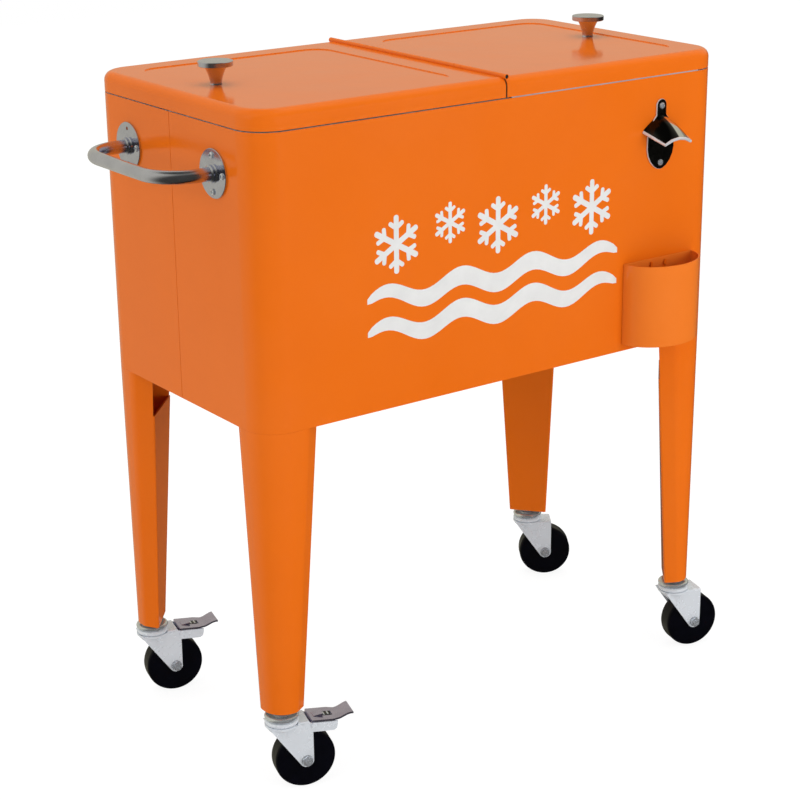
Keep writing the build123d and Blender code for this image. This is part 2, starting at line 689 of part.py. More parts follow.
catcher_top = CATCHER_BOTTOM + CATCHER_HEIGHT
catcher = half_ellipse(0, CATCHER_BOTTOM, catcher_top)
catcher -= half_ellipse(CATCHER_WALL, CATCHER_BOTTOM + CATCHER_FLOOR, catcher_top + OVERRUN)
slot_top = catcher_top - SLOT_DROP
for x in HOOK_PLACES:
    catcher -= span(
        (x - SLOT_WIDTH / 2, x + SLOT_WIDTH / 2),
        (-HALF_DEPTH, -HALF_DEPTH - SEAT_GAP - CATCHER_WALL - OVERRUN),
        (slot_top - SLOT_HEIGHT, slot_top),
    )
write("cap_catcher", catcher)


def make_hook(x):
    """A bent hook: a stud in the panel, a flat neck through the slot and an upturned tip."""
    x, y, z = hook_root(x)
    across = (x - HOOK_WIDTH / 2, x + HOOK_WIDTH / 2)
    tip_back = y - SEAT_GAP - CATCHER_WALL - SEAT_GAP
    tip_front = tip_back - HOOK_SHEET
    low = z - HOOK_NECK / 2
    hook = span(across, (y, tip_front), (low, low + HOOK_NECK))
    hook += span(across, (tip_back, tip_front), (low, low + HOOK_NECK + HOOK_TIP))
    return hook + pin((x, y, z), (x, y + SCREW_REACH, z), HOOK_NECK / 2)


write("catcher_hooks", *[make_hook(x) for x in HOOK_PLACES])


# Legs: a folded tapering sheet that follows the corner, open at the back near its top

def between(pair, share):
    """A size part of the way from the top of a leg to its foot."""
    top, foot = pair
    return top + (foot - top) * share


def leg_points(share):
    """Corner, end edge, end lip, front lip and front edge of the leg section, from the cabinet corner."""
    u = LEG_END_LEAN * share
    v = LEG_FRONT_LEAN * share
    end = between(LEG_END_WIDTHS, share)
    front = between(LEG_FRONT_WIDTHS, share)
    return [
        (u, v),
        (u, v + end),
        (u + between(LEG_END_LIPS, share), v + end),
        (u + front, v + between(LEG_FRONT_LIPS, share)),
        (u + front, v),
    ]


def leg_outline(share, height):
    """The closed section of a leg at one height, with its corner and bends rounded."""
    corner, *others = leg_points(share)
    outline = make_face(Polyline(corner, *others, close=True))
    bends = outline.vertices().sort_by_distance((corner[0], corner[1]))
    outline = fillet(bends[1:], LEG_BEND)
    sharp = outline.vertices().sort_by_distance((corner[0], corner[1]))[0]
    outline = fillet(sharp, between(LEG_CORNERS, share))
    return Pos(0, 0, height) * outline


def leg_solid(inset):
    """The tapering leg, filled, with its walls moved in by inset."""
    ends = [leg_outline(0, BODY_BOTTOM), leg_outline(1, LEG_BOTTOM)]
    if inset:
        ends = [offset(end, -inset) for end in ends]
    return loft([end.faces()[0] for end in ends], ruled=True)


def web_quad(share, height):
    """The opening over the back web of a leg at one height."""
    points = leg_points(share)
    near, far = Vector(*points[2]), Vector(*points[3])
    along = (far - near).normalized()
    outward = Vector(-along.Y, along.X)
    back = outward * -(LEG_SHEET + SEAT_GAP)
    out = outward * NOTCH_RUN
    corners = [near + back, far + back, far + out, near + out]
    return Pos(0, 0, height) * make_face(Polyline(*corners, close=True))


def place_leg(shape, corner):
    """Moves a shape from corner coordinates to one corner of the cabinet."""
    sx, sy = CORNERS[corner]
    if sx > 0:
        shape = mirror(shape, about=Plane.YZ)
    if sy > 0:
        shape = mirror(shape, about=Plane.XZ)
    return Pos(sx * HALF_LENGTH, sy * HALF_DEPTH, 0) * shape


inside_leg = leg_solid(LEG_SHEET)
leg = leg_solid(0) - inside_leg
notch_share = NOTCH_HEIGHT / LEG_HEIGHT
leg -= loft([web_quad(0, BODY_BOTTOM), web_quad(notch_share, BODY_BOTTOM - NOTCH_HEIGHT)], ruled=True)
reach = (-OVERRUN, HALF_DEPTH)
leg += inside_leg & span(reach, reach, (BODY_BOTTOM - LEG_SHEET, BODY_BOTTOM))
for u, v in LEG_BOLT_PLACES:
    leg -= pin((u, v, BODY_BOTTOM - OVERRUN), (u, v, BODY_BOTTOM + OVERRUN), LEG_BOLT_RADIUS + SCREW_GAP)
foot_plate = inside_leg & span(reach, reach, (LEG_BOTTOM, LEG_BOTTOM + FOOT_PLATE))
foot_plate -= pin(
    (CASTER_END_INSET, CASTER_FRONT_INSET, LEG_BOTTOM - OVERRUN),
    (CASTER_END_INSET, CASTER_FRONT_INSET, LEG_BOTTOM + OVERRUN),
    STEM_RADIUS + SCREW_GAP,
)
for corner in CORNERS:
    write(f"leg_{corner}", place_leg(leg, corner))
write("foot_plates", *[place_leg(foot_plate, corner) for corner in CORNERS])

leg_bolts = []
for corner in CORNERS:
    for x, y, z in leg_bolt_places(corner):
        seat = z - LEG_SHEET
        bolt = hex_bar((x, y, seat), (0, 0, -1), LEG_BOLT_HEAD_RADIUS, LEG_BOLT_HEAD_HEIGHT)
        leg_bolts.append(bolt + pin((x, y, seat), (x, y, z + LEG_BOLT_REACH), LEG_BOLT_RADIUS))
write("leg_bolts", *leg_bolts)


# Casters, built with the swivel on Z and the wheel trailing towards +X, then turned to their headings

def place_caster(shape, corner):
    """Turns a caster piece to its heading and moves it under its leg."""
    sx, sy = CORNERS[corner]
    x = sx * (HALF_LENGTH - CASTER_END_INSET)
    y = sy * (HALF_DEPTH - CASTER_FRONT_INSET)
    return Pos(x, y, 0) * Rot(0, 0, CASTER_ANGLES[corner]) * shape


def upright(radius, low, high):
    """A cylinder on the swivel axis."""
    return pin((0, 0, low), (0, 0, high), radius)


def race(low, high, radius):
    """A rounded bead of the swivel head."""
    bead = upright(radius, low, high)
    return fillet(bead.edges().filter_by(GeomType.CIRCLE), RACE_ROUND)


stem_bottom = FORK_TOP - FORK_SHEET - SEAT_GAP
stem = upright(STEM_RADIUS, stem_bottom - STEM_HEAD_HEIGHT, LEG_BOTTOM + STEM_REACH)
stem += upright(STEM_HEAD_RADIUS, stem_bottom - STEM_HEAD_HEIGHT, stem_bottom)
stem += upright(STEM_COLLAR_RADIUS, STEM_TOP_RACE, LEG_BOTTOM)
stem += race(STEM_TOP_RACE, STEM_TOP_RACE + UPPER_RACE_HEIGHT, RACE_RADIUS)

stem_nut = hex_bar((0, 0, LEG_BOTTOM + FOOT_PLATE), (0, 0, 1), STEM_NUT_HALF_WIDTH, STEM_NUT_HEIGHT)
stem_nut -= upright(STEM_RADIUS + TURN_GAP, LEG_BOTTOM, LEG_BOTTOM + STEM_REACH + OVERRUN)


def fork_side():
    """Outline of a fork plate: round the axle, straight up at the back and slanting at the front."""
    front_x = CASTER_TRAIL - FORK_FRONT_REACH
    front_z = AXLE_HEIGHT + FORK_FRONT_RISE
    run = hypot(FORK_FRONT_REACH, FORK_FRONT_RISE)
    slope = atan2(FORK_FRONT_RISE, -FORK_FRONT_REACH)
    touch = slope + radians(90) - asin(FORK_END_RADIUS / run)
    touch_x = CASTER_TRAIL + FORK_END_RADIUS * cos(touch)
    touch_z = AXLE_HEIGHT + FORK_END_RADIUS * sin(touch)
    back = CASTER_TRAIL + FORK_BACK
    back_z = AXLE_HEIGHT - sqrt(FORK_END_RADIUS**2 - FORK_BACK**2)
    shoulder = CASTER_TRAIL - FORK_SHOULDER
    edge = Polyline((back, back_z), (back, FORK_TOP), (shoulder, FORK_TOP), (front_x, front_z))
    edge += Line((front_x, front_z), (touch_x, touch_z))
    edge += ThreePointArc((touch_x, touch_z), (CASTER_TRAIL, AXLE_HEIGHT - FORK_END_RADIUS), (back, back_z))
    return make_face(edge)


def across_fork(outline, half_low, half_high):
    """Both copies of a side plate, between two distances from the middle of the wheel."""
    plates = []
    for turn in (-1, 1):
        face = Plane(origin=(0, turn * half_low, 0), x_dir=(1, 0, 0), z_dir=(0, -1, 0))
        plates.append(extrude(face * outline, -turn * (half_high - half_low)))
    return plates[0] + plates[1]


def axle_bar(low, high):
    """A bar as thick as the axle between two distances from the middle of the wheel."""
    return pin((CASTER_TRAIL, low, AXLE_HEIGHT), (CASTER_TRAIL, high, AXLE_HEIGHT), AXLE_RADIUS)


def pivot_bore(half, radius):
    """A cylinder on the brake pivot."""
    return pin((PIVOT_X, -half, PIVOT_HEIGHT), (PIVOT_X, half, PIVOT_HEIGHT), radius)


def pressed(shape):
    """Tips a shape about the brake pivot until its tail points down as far as a pressed pedal."""
    return shape.rotate(Axis((PIVOT_X, 0, PIVOT_HEIGHT), (0, 1, 0)), PEDAL_ANGLE)


def arm_outline():
    """The arm that carries a brake pedal, rounded at its lower corner."""
    low = FORK_TOP - ARM_DEPTH
    arm = Pos(CASTER_TRAIL + ARM_REACH / 2, FORK_TOP - ARM_DEPTH / 2) * Rectangle(ARM_REACH, ARM_DEPTH)
    corner = arm.vertices().sort_by_distance((CASTER_TRAIL + ARM_REACH, low))[0]
    return fillet(corner, ARM_ROUND)


def make_fork(braked):
    """Fork with its lower race, and with arms and a fixed leaf where it carries a brake."""
    fork = across_fork(fork_side(), FORK_INSIDE, FORK_HALF)
    back = CASTER_TRAIL + FORK_BACK
    if braked:
        back = PIVOT_X - PEDAL_FRONT - PEDAL_GAP - PEDAL_SHEET
    across = (-FORK_HALF, FORK_HALF)
    fork += upright(RACE_RADIUS, FORK_TOP - FORK_SHEET, FORK_TOP)
    fork += span((0, back), across, (FORK_TOP - FORK_SHEET, FORK_TOP))
    if braked:
        fork += pressed(across_fork(arm_outline(), FORK_INSIDE, FORK_HALF))
        fork -= pivot_bore(FORK_WIDTH, PIVOT_RADIUS + TURN_GAP)
        fork += span((CASTER_TRAIL - PIVOT_REACH, back), across, (FORK_TOP, PEDAL_BOTTOM + PEDAL_SHEET))
    fork += race(FORK_TOP, RACE_SPLIT, RACE_RADIUS)
    fork -= upright(STEM_RADIUS + TURN_GAP, 0, LEG_BOTTOM)
    return fork - axle_bar(-FORK_WIDTH, FORK_WIDTH)


def make_axle():
    """Axle bolt: a hexagon head on one side, a nut and the bolt's end on the other."""
    axle = axle_bar(-FORK_HALF - NUT_HEIGHT - AXLE_END, FORK_HALF)
    for turn in (-1, 1):
        seat = (CASTER_TRAIL, turn * FORK_HALF, AXLE_HEIGHT)
        axle += hex_bar(seat, (0, turn, 0), NUT_HALF_WIDTH, NUT_HEIGHT)
    return axle


def make_wheel():
    """A solid wheel with rounded tread edges, a dished web and a hub between the fork plates."""
    centre = (CASTER_TRAIL, 0, AXLE_HEIGHT)

    def disc(radius, width):
        x, y, z = centre
        return pin((x, -width / 2, z), (x, width / 2, z), radius)

    wheel = disc(WHEEL_RADIUS, WHEEL_WIDTH)
    wheel = fillet(wheel.edges().filter_by(GeomType.CIRCLE), WHEEL_ROUND)
    wheel -= disc(WHEEL_DISH_RADIUS, WHEEL_WIDTH) - disc(WHEEL_DISH_RADIUS, WHEEL_WIDTH - 2 * WHEEL_DISH)
    wheel += disc(HUB_RADIUS, HUB_WIDTH)
    return wheel - disc(AXLE_RADIUS + TURN_GAP, FORK_WIDTH)


def make_pedal():
    """Brake pedal: a flat plate with an upturned tail and a shoe over the tread."""
    front = PIVOT_X - PEDAL_FRONT
    flat = CASTER_TRAIL + PEDAL_FLAT_REACH
    tail = CASTER_TRAIL + PEDAL_TAIL_REACH
    profile = Polyline(
        (front, PEDAL_BOTTOM),
        (flat, PEDAL_BOTTOM),
        (tail, PEDAL_TIP - PEDAL_SHEET),
        (tail, PEDAL_TIP),
        (flat - PEDAL_SHEET / 2, PEDAL_BOTTOM + PEDAL_SHEET),
        (front, PEDAL_BOTTOM + PEDAL_SHEET),
        close=True,
    )
    face = Plane(origin=(0, PEDAL_HALF_WIDTH, 0), x_dir=(1, 0, 0), z_dir=(0, -1, 0))
    pedal = extrude(face * make_face(profile), 2 * PEDAL_HALF_WIDTH)
    pedal += span(
        (PIVOT_X - SHOE_FRONT, PIVOT_X + SHOE_BACK),
        (-SHOE_HALF_WIDTH, SHOE_HALF_WIDTH),
        (AXLE_HEIGHT + WHEEL_RADIUS + SHOE_GAP, PEDAL_BOTTOM + PEDAL_SHEET),
    )
    return pressed(pedal - pivot_bore(FORK_WIDTH, PIVOT_RADIUS + TURN_GAP))


def make_rivet():
    """The brake pivot with a head on each side."""
    rivet = pivot_bore(FORK_HALF + PIVOT_HEAD_HEIGHT, PIVOT_RADIUS)
    for turn in (-1, 1):
        seat = turn * FORK_HALF
        head_end = turn * (FORK_HALF + PIVOT_HEAD_HEIGHT)
        rivet += pin((PIVOT_X, seat, PIVOT_HEIGHT), (PIVOT_X, head_end, PIVOT_HEIGHT), PIVOT_HEAD_RADIUS)
    return rivet


for corner in CORNERS:
    braked = corner in BRAKED_CASTERS
    write(f"caster_{corner}_stem", place_caster(stem, corner))
    write(f"caster_{corner}_fork", place_caster(make_fork(braked), corner))
    write(f"caster_{corner}_axle", place_caster(make_axle(), corner))
    write(f"caster_{corner}_wheel", place_caster(make_wheel(), corner))
    if braked:
        write(f"brake_{corner}_pedal", place_caster(make_pedal(), corner))
        write(f"brake_{corner}_rivet", place_caster(make_rivet(), corner))
write("stem_nuts", *[place_caster(stem_nut, corner) for corner in CORNERS])


# Drain: a spout through the right end, held by a nut in the tub and closed by a cap

def drain_bar(low, high, radius):
    """A cylinder on the drain axis, between two distances from the middle of the cabinet."""
    return pin((low, *DRAIN_LINE), (high, *DRAIN_LINE), radius)


spout_inside = TUB_LENGTH / 2 - SPOUT_INSIDE
spout_end = HALF_LENGTH + SPOUT_FLANGE_HEIGHT + SPOUT_REACH
spout = drain_bar(spout_inside, spout_end, SPOUT_RADIUS)
spout += drain_bar(HALF_LENGTH, HALF_LENGTH + SPOUT_FLANGE_HEIGHT, SPOUT_FLANGE_RADIUS)
spout -= drain_bar(spout_inside - OVERRUN, spout_end + OVERRUN, SPOUT_BORE)
write("drain_spout", spout)

nut = hex_bar((TUB_LENGTH / 2, *DRAIN_LINE), (-1, 0, 0), DRAIN_NUT_HALF_WIDTH, DRAIN_NUT_HEIGHT)
nut -= drain_bar(spout_inside - OVERRUN, TUB_LENGTH / 2 + OVERRUN, SPOUT_RADIUS + TURN_GAP)
write("drain_nut", nut)

cap_open = spout_end + SEAT_GAP - CAP_LENGTH + CAP_END
cap = drain_bar(cap_open, spout_end + SEAT_GAP + CAP_END, CAP_RADIUS)
cap -= drain_bar(cap_open - OVERRUN, spout_end + SEAT_GAP, SPOUT_RADIUS + TURN_GAP)
write("drain_cap", cap)
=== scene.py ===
import json
from math import atan2, cos, degrees, pi, radians, sin

import bmesh
import bpy
from mathutils import Matrix, Vector


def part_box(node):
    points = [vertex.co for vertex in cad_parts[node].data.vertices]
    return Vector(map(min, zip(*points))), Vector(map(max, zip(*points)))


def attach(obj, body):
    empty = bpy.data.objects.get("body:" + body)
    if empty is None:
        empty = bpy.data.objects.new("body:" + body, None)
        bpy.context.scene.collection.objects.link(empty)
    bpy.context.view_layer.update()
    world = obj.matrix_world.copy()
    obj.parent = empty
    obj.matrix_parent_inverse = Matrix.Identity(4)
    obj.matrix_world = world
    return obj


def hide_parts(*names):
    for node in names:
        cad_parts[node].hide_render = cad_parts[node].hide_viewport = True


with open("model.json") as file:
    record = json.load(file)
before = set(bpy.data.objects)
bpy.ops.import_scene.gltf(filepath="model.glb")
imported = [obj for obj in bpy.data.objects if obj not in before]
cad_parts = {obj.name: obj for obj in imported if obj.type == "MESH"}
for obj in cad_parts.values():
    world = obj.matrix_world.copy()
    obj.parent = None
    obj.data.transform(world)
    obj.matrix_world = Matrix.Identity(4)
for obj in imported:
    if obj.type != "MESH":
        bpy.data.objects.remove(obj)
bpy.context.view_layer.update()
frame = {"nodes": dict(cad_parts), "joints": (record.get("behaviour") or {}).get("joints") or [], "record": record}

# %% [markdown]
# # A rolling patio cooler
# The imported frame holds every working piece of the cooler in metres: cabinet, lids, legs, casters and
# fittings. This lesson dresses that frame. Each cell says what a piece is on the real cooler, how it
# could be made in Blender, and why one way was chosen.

MM = 0.001
nodes = frame["nodes"]

# %% [markdown]
# ## The camera
# The view was solved from the cooler's own long edges: a long lens from the left of the front, looking
# down a little. A camera can be aimed with Euler angles, but three axes written as a matrix keep the
# small roll exact.

# %% Camera
FRONT_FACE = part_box("front_shell_panel")[0][1]
REAR_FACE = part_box("rear_shell_panel")[1][1]
MIDDLE_Y = (FRONT_FACE + REAR_FACE) / 2
LENS = 88.93
SENSOR = 36.0
VIEW_YAW = radians(35.758)
VIEW_PITCH = radians(18.995)
VIEW_ROLL = radians(0.629)
CAMERA_PLACE = Vector((-1.4538, -1.9817 + MIDDLE_Y, 1.2342))

forward = Vector((sin(VIEW_YAW) * cos(VIEW_PITCH), cos(VIEW_YAW) * cos(VIEW_PITCH), -sin(VIEW_PITCH)))
level_right = Vector((cos(VIEW_YAW), -sin(VIEW_YAW), 0))
level_down = forward.cross(level_right)
right = level_right * cos(VIEW_ROLL) + level_down * sin(VIEW_ROLL)
up = level_right * sin(VIEW_ROLL) - level_down * cos(VIEW_ROLL)
camera_data = bpy.data.cameras.new("photo_camera")
camera_data.lens = LENS
camera_data.sensor_width = SENSOR
camera_data.sensor_fit = "HORIZONTAL"
camera = bpy.data.objects.new("photo_camera", camera_data)
bpy.context.scene.collection.objects.link(camera)
turn = Matrix((right, up, -forward)).transposed()
camera.matrix_world = Matrix.Translation(CAMERA_PLACE) @ turn.to_4x4()
bpy.context.scene.camera = camera
print("camera at", [round(v, 3) for v in CAMERA_PLACE])

# %% [markdown]
# ## Nodes in short
# Light, floor and finishes are all built from shader nodes. At the screen each is placed and wired by
# hand. Here one helper takes numbers and other nodes' outputs alike, which keeps the wiring of a finish
# as short as its description.

# %% Node helpers
def wire(tree, node, *inputs, **values):
    """Fills inputs in order or by name, from numbers or from other nodes' outputs."""
    slots = list(zip(node.inputs, inputs))
    slots += [(node.inputs[label.replace("_", " ")], value) for label, value in values.items()]
    for slot, value in slots:
        if isinstance(value, bpy.types.NodeSocket):
            tree.links.new(value, slot)
        else:
            slot.default_value = value
    return node


def add_node(tree, kind, *inputs, **values):
    """Adds a node. Values in lower case are its properties, and all others fill its inputs."""
    node = tree.nodes.new(kind)
    for label in [label for label in values if label[0].islower()]:
        setattr(node, label, values.pop(label))
    return wire(tree, node, *inputs, **values)


def math_node(tree, operation, *inputs):
    """The result of one step of arithmetic."""
    return add_node(tree, "ShaderNodeMath", *inputs, operation=operation).outputs[0]


def mix_shaders(tree, share, first, second):
    """A blend of two shaders."""
    return add_node(tree, "ShaderNodeMixShader", share, first, second).outputs[0]


def new_finish(name):
    """A material with one Principled shader wired to its output."""
    finish = bpy.data.materials.new(name)
    finish.use_nodes = True
    tree = finish.node_tree
    tree.nodes.clear()
    skin = add_node(tree, "ShaderNodeBsdfPrincipled")
    out = add_node(tree, "ShaderNodeOutputMaterial", skin.outputs[0])
    return finish, tree, skin, out


print("node helpers ready")

# %% [markdown]
# ## Floor and light
# A product shot has a white room: large soft lamps and a floor that fades away. The lamps stay at a
# plain level so that paint renders about as it is written. The white behind the cooler comes from the
# world as the camera and the reflections see it, not from more light.

# %% World
WORLD_LIGHT = 0.68
ROOM_DARK = 0.06
ROOM_WHITE = 0.64
ROOM_LIFT = 0.5
ROOM_TINT = (0.81, 0.77, 0.58)
OVERHEAD_DARK = 0.12
RIGHT_DARK = 0.14
WHITE = (1, 1, 1, 1)
world = bpy.data.worlds.new("studio")
bpy.context.scene.world = world
world.use_nodes = True
tree = world.node_tree
tree.nodes.clear()


def zone(source, *ends):
    """A smooth step: ends are the source's start and end, then the result's."""
    node = add_node(tree, "ShaderNodeMapRange", source, *ends, interpolation_type="SMOOTHSTEP")
    return node.outputs["Result"]


# What a reflection sees: a warm pale wall behind, and dark in front, overhead and low on the right.
heading = add_node(tree, "ShaderNodeTexCoord").outputs["Generated"]
x, y, z = add_node(tree, "ShaderNodeSeparateXYZ", heading).outputs
wall = zone(math_node(tree, "MULTIPLY_ADD", z, ROOM_LIFT, y), -0.45, 0.35, ROOM_DARK, ROOM_WHITE)
overhead = zone(z, 0.84, 0.94, 1.0, OVERHEAD_DARK)
low_right = zone(math_node(tree, "SUBTRACT", x, z), 0.65, 0.95, 1.0, RIGHT_DARK)
shade = math_node(tree, "MULTIPLY", math_node(tree, "MULTIPLY", wall, overhead), low_right)
mirrored = add_node(tree, "ShaderNodeBackground", Color=(*ROOM_TINT, 1), Strength=shade).outputs[0]
soft_light = add_node(tree, "ShaderNodeBackground", Color=WHITE, Strength=WORLD_LIGHT).outputs[0]
white_room = add_node(tree, "ShaderNodeBackground", Color=WHITE, Strength=1.0).outputs[0]
path = add_node(tree, "ShaderNodeLightPath").outputs
lit = mix_shaders(tree, path["Is Glossy Ray"], soft_light, mirrored)
seen = mix_shaders(tree, path["Is Camera Ray"], lit, white_room)
add_node(tree, "ShaderNodeOutputWorld", seen)
bpy.context.scene.view_settings.view_transform = "Standard"
print("world light", WORLD_LIGHT)

# %% Lamps
def soft_lamp(name, place, target, width, height, power):
    """A large rectangular lamp that looks at a point."""
    data = bpy.data.lights.new(name, "AREA")
    data.shape = "RECTANGLE"
    data.size = width
    data.size_y = height
    data.energy = power
    lamp = bpy.data.objects.new(name, data)
    bpy.context.scene.collection.objects.link(lamp)
    aim = (Vector(target) - Vector(place)).to_track_quat("-Z", "Y")
    lamp.matrix_world = Matrix.Translation(place) @ aim.to_matrix().to_4x4()
    lamp.visible_glossy = False
    return lamp


middle = Vector((0, MIDDLE_Y, 0.55))
soft_lamp("front_lamp", (0.9, -2.8, 0.9), middle, 2.2, 1.5, 30)
soft_lamp("end_lamp", (-2.8, -0.3, 1.3), middle, 1.6, 1.6, 14)
soft_lamp("top_lamp", (0.2, 0.3, 2.9), middle, 2.4, 2.0, 22)

# %% Floor
FLOOR_REACH = 6.0
FLOOR_TONE = 0.86
FLOOR_GLOW = 1.16
GLOW_SHARE = 0.76
bpy.ops.object.select_all(action="DESELECT")
bpy.ops.mesh.primitive_plane_add(size=2 * FLOOR_REACH, location=(0, 0, 0))
floor = bpy.context.active_object
floor.name = "floor"
floor_paint, tree, pale, out = new_finish("floor_paint")
wire(tree, pale, Base_Color=(FLOOR_TONE, FLOOR_TONE, FLOOR_TONE, 1), Roughness=0.9)
glow = add_node(tree, "ShaderNodeEmission", Strength=FLOOR_GLOW)
seen = add_node(tree, "ShaderNodeLightPath").outputs["Is Camera Ray"]
share_seen = math_node(tree, "MULTIPLY", seen, GLOW_SHARE)
wire(tree, out, mix_shaders(tree, share_seen, pale.outputs[0], glow.outputs[0]))
floor.data.materials.append(floor_paint)
floor.visible_glossy = False
print("floor half width", FLOOR_REACH)

# %% [markdown]
# ## Finishes
# Powder coat is not one flat colour. It is a thin skin with a faint orange-peel ripple, a few dull
# patches and a slightly richer tone where it pools. The same small effects serve several finishes, so
# each is a node group with named inputs, placed in every material with its own values.

# %% Group helpers
def new_group(name, **inputs):
    """A node group with number inputs and one number output, its start and its end."""
    group = bpy.data.node_groups.new(name, "ShaderNodeTree")
    for label, value in inputs.items():
        label = label.replace("_", " ")
        slot = group.interface.new_socket(label, in_out="INPUT", socket_type="NodeSocketFloat")
        slot.default_value = value
    group.interface.new_socket("Value", in_out="OUTPUT", socket_type="NodeSocketFloat")
    return group, add_node(group, "NodeGroupInput"), add_node(group, "NodeGroupOutput")


def use_group(tree, group, **values):
    """The output of a node group that is placed with its own values."""
    return add_node(tree, "ShaderNodeGroup", node_tree=group, **values).outputs[0]


def on_object(tree):
    """Where a point lies on the object, so that a pattern stays fixed to it."""
    return add_node(tree, "ShaderNodeTexCoord").outputs["Object"]


def noise(tree, place, scale, detail, roughness=0.5):
    """A soft noise over a place."""
    node = add_node(
        tree, "ShaderNodeTexNoise", Vector=place, Scale=scale, Detail=detail, Roughness=roughness
    )
    return node.outputs["Fac"]


print("group helpers ready")

# %% Ripple, patches and grain
ripple_group, start, end = new_group("coat_ripple", Peel_Scale=900.0, Peel_Share=0.35, Wave_Scale=7.0)
place = on_object(ripple_group)
peel = noise(ripple_group, place, start.outputs["Peel Scale"], 1.0, 0.4)
wave = noise(ripple_group, place, start.outputs["Wave Scale"], 2.0, 0.45)
peel_part = math_node(ripple_group, "MULTIPLY", peel, start.outputs["Peel Share"])
wire(ripple_group, end, math_node(ripple_group, "ADD", wave, peel_part))

patches_group, start, end = new_group("soft_patches", Scale=5.0, Low=0.2, High=0.3)
cloud = noise(patches_group, on_object(patches_group), start.outputs["Scale"], 5.0, 0.62)
low, high = start.outputs["Low"], start.outputs["High"]
spread = add_node(patches_group, "ShaderNodeMapRange", cloud, 0.3, 0.7, low, high)
wire(patches_group, end, spread.outputs["Result"])

grain_group, start, end = new_group("long_grain", Along_X=6.0, Along_Y=6.0, Along_Z=6.0)
stretch = add_node(grain_group, "ShaderNodeCombineXYZ", *start.outputs[:3]).outputs[0]
scaled = add_node(
    grain_group, "ShaderNodeVectorMath", on_object(grain_group), stretch, operation="MULTIPLY"
)
wire(grain_group, end, noise(grain_group, scaled.outputs[0], 1.0, 3.0))
print("groups", ripple_group.name, patches_group.name, grain_group.name)

# %% Finish maker
def patchy_finish(name, dark, light, scales, rough, ripple, bump, grain=None, **skin_values):
    """A finish whose tone and roughness drift in patches, over a fine ripple or a long grain."""
    finish, tree, skin, out = new_finish(name)
    tone = use_group(tree, patches_group, Scale=scales[0], Low=0.0, High=1.0)
    mix = add_node(tree, "ShaderNodeMix", data_type="RGBA", Factor=tone, A=(*dark, 1), B=(*light, 1))
    roughness = use_group(tree, patches_group, Scale=scales[1], Low=rough[0], High=rough[1])
    if grain:
        height = use_group(tree, grain_group, Along_X=grain[0], Along_Y=grain[1], Along_Z=grain[2])
        roughness = math_node(tree, "MULTIPLY_ADD", height, (rough[1] - rough[0]) * 1.5, roughness)
    else:
        peel_scale, peel_share, wave_scale = ripple
        height = use_group(
            tree, ripple_group, Peel_Scale=peel_scale, Peel_Share=peel_share, Wave_Scale=wave_scale
        )
    normal = add_node(tree, "ShaderNodeBump", Height=height, Distance=bump, Strength=1.0).outputs[0]
    wire(tree, skin, Base_Color=mix.outputs["Result"], Roughness=roughness, Normal=normal, **skin_values)
    return finish


print("finish maker ready")

# %% [markdown]
# ### Orange powder coat
# The sheet metal is sprayed and baked: a deep orange with a clear gloss. A coat layer could carry all
# the gloss, but a plain specular skin with a thin coat over it keeps the colour strong face on and
# lets the edges of the cooler turn pale where they are seen at a low angle.

# %% Orange coat
ORANGE_DEEP = (0.79, 0.148, 0.006)
ORANGE_LIGHT = (0.83, 0.163, 0.009)
# Painted light: the cap catcher's coat is the cabinet's orange made lighter and more yellow.
CUP_LIT_DEEP_TONE = (0.82, 0.185, 0.018)
CUP_LIT_LIGHT_TONE = (0.87, 0.212, 0.026)


def coat_finish(name, dark, light):
    """A powder coat in one colour."""
    skin = {"IOR": 1.5, "Specular_IOR_Level": 0.36, "Coat_Weight": 0.04, "Coat_Roughness": 0.05}
    return patchy_finish(name, dark, light, (3.0, 9.0), (0.1, 0.17), (650.0, 0.006, 8.0), 0.0012, **skin)


orange = coat_finish("orange_coat", ORANGE_DEEP, ORANGE_LIGHT)
cup_painted_light_orange = coat_finish("catcher_coat_painted_light", CUP_LIT_DEEP_TONE, CUP_LIT_LIGHT_TONE)
print("finish", orange.name, cup_painted_light_orange.name)

# %% [markdown]
# ### Bare metals
# The handles are satin stainless steel, the knobs and the opener are polished, and the casters are
# zinc plated with a faint blue cast. The colour of a metal is the colour of its reflection, and the
# roughness tells one from another. Zinc and screws are only partly metallic, so they stay pale where
# the room around them is dark.

# %% Metals
GRAIN_BUMP = 0.00006
PLAIN_BUMP = 0.00002
# Painted reflection on the opener hood: bands of tone across its width, each a place and a tone, spread over
# HOOD_HALF either side of its middle.
HOOD_HALF = 0.03
HOOD_PAINTED_REFLECTION = [
    (0.0, 0.04), (0.42, 0.02), (0.5, 0.05), (0.53, 0.85), (0.64, 0.8), (0.7, 0.3), (0.85, 0.16), (1.0, 0.4)
]
opener_low, opener_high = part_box("bottle_opener")
OPENER_X = (opener_low.x + opener_high.x) / 2


def metal_finish(name, dark, light, low, high, patch_scale, grain=None, metal=1.0):
    """A metal, plain or drawn along one direction."""
    scales = (patch_scale, patch_scale * 2.3)
    bump = GRAIN_BUMP if grain else PLAIN_BUMP
    ripple = (1400.0, 0.3, 40.0)
    return patchy_finish(name, dark, light, scales, (low, high), ripple, bump, grain, Metallic=metal)


def painted_reflection_finish(name, bands):
    """A polished metal with a reflection painted into its colour: dark and bright bands across it, as a curved
    mirror would show a room.
    """
    finish, tree, skin, out = new_finish(name)
    across = add_node(tree, "ShaderNodeSeparateXYZ", on_object(tree)).outputs["X"]
    share = add_node(tree, "ShaderNodeMapRange", across, OPENER_X - HOOD_HALF, OPENER_X + HOOD_HALF)
    ramp = add_node(tree, "ShaderNodeValToRGB", share.outputs["Result"])
    tones = ramp.color_ramp.elements
    while len(tones) < len(bands):
        tones.new(0.5)
    for element, (place, tone) in zip(tones, bands):
        element.position = place
        element.color = (tone, tone, tone * 1.04, 1)
    wire(tree, skin, Base_Color=ramp.outputs["Color"], Metallic=1.0, Roughness=0.12)
    return finish


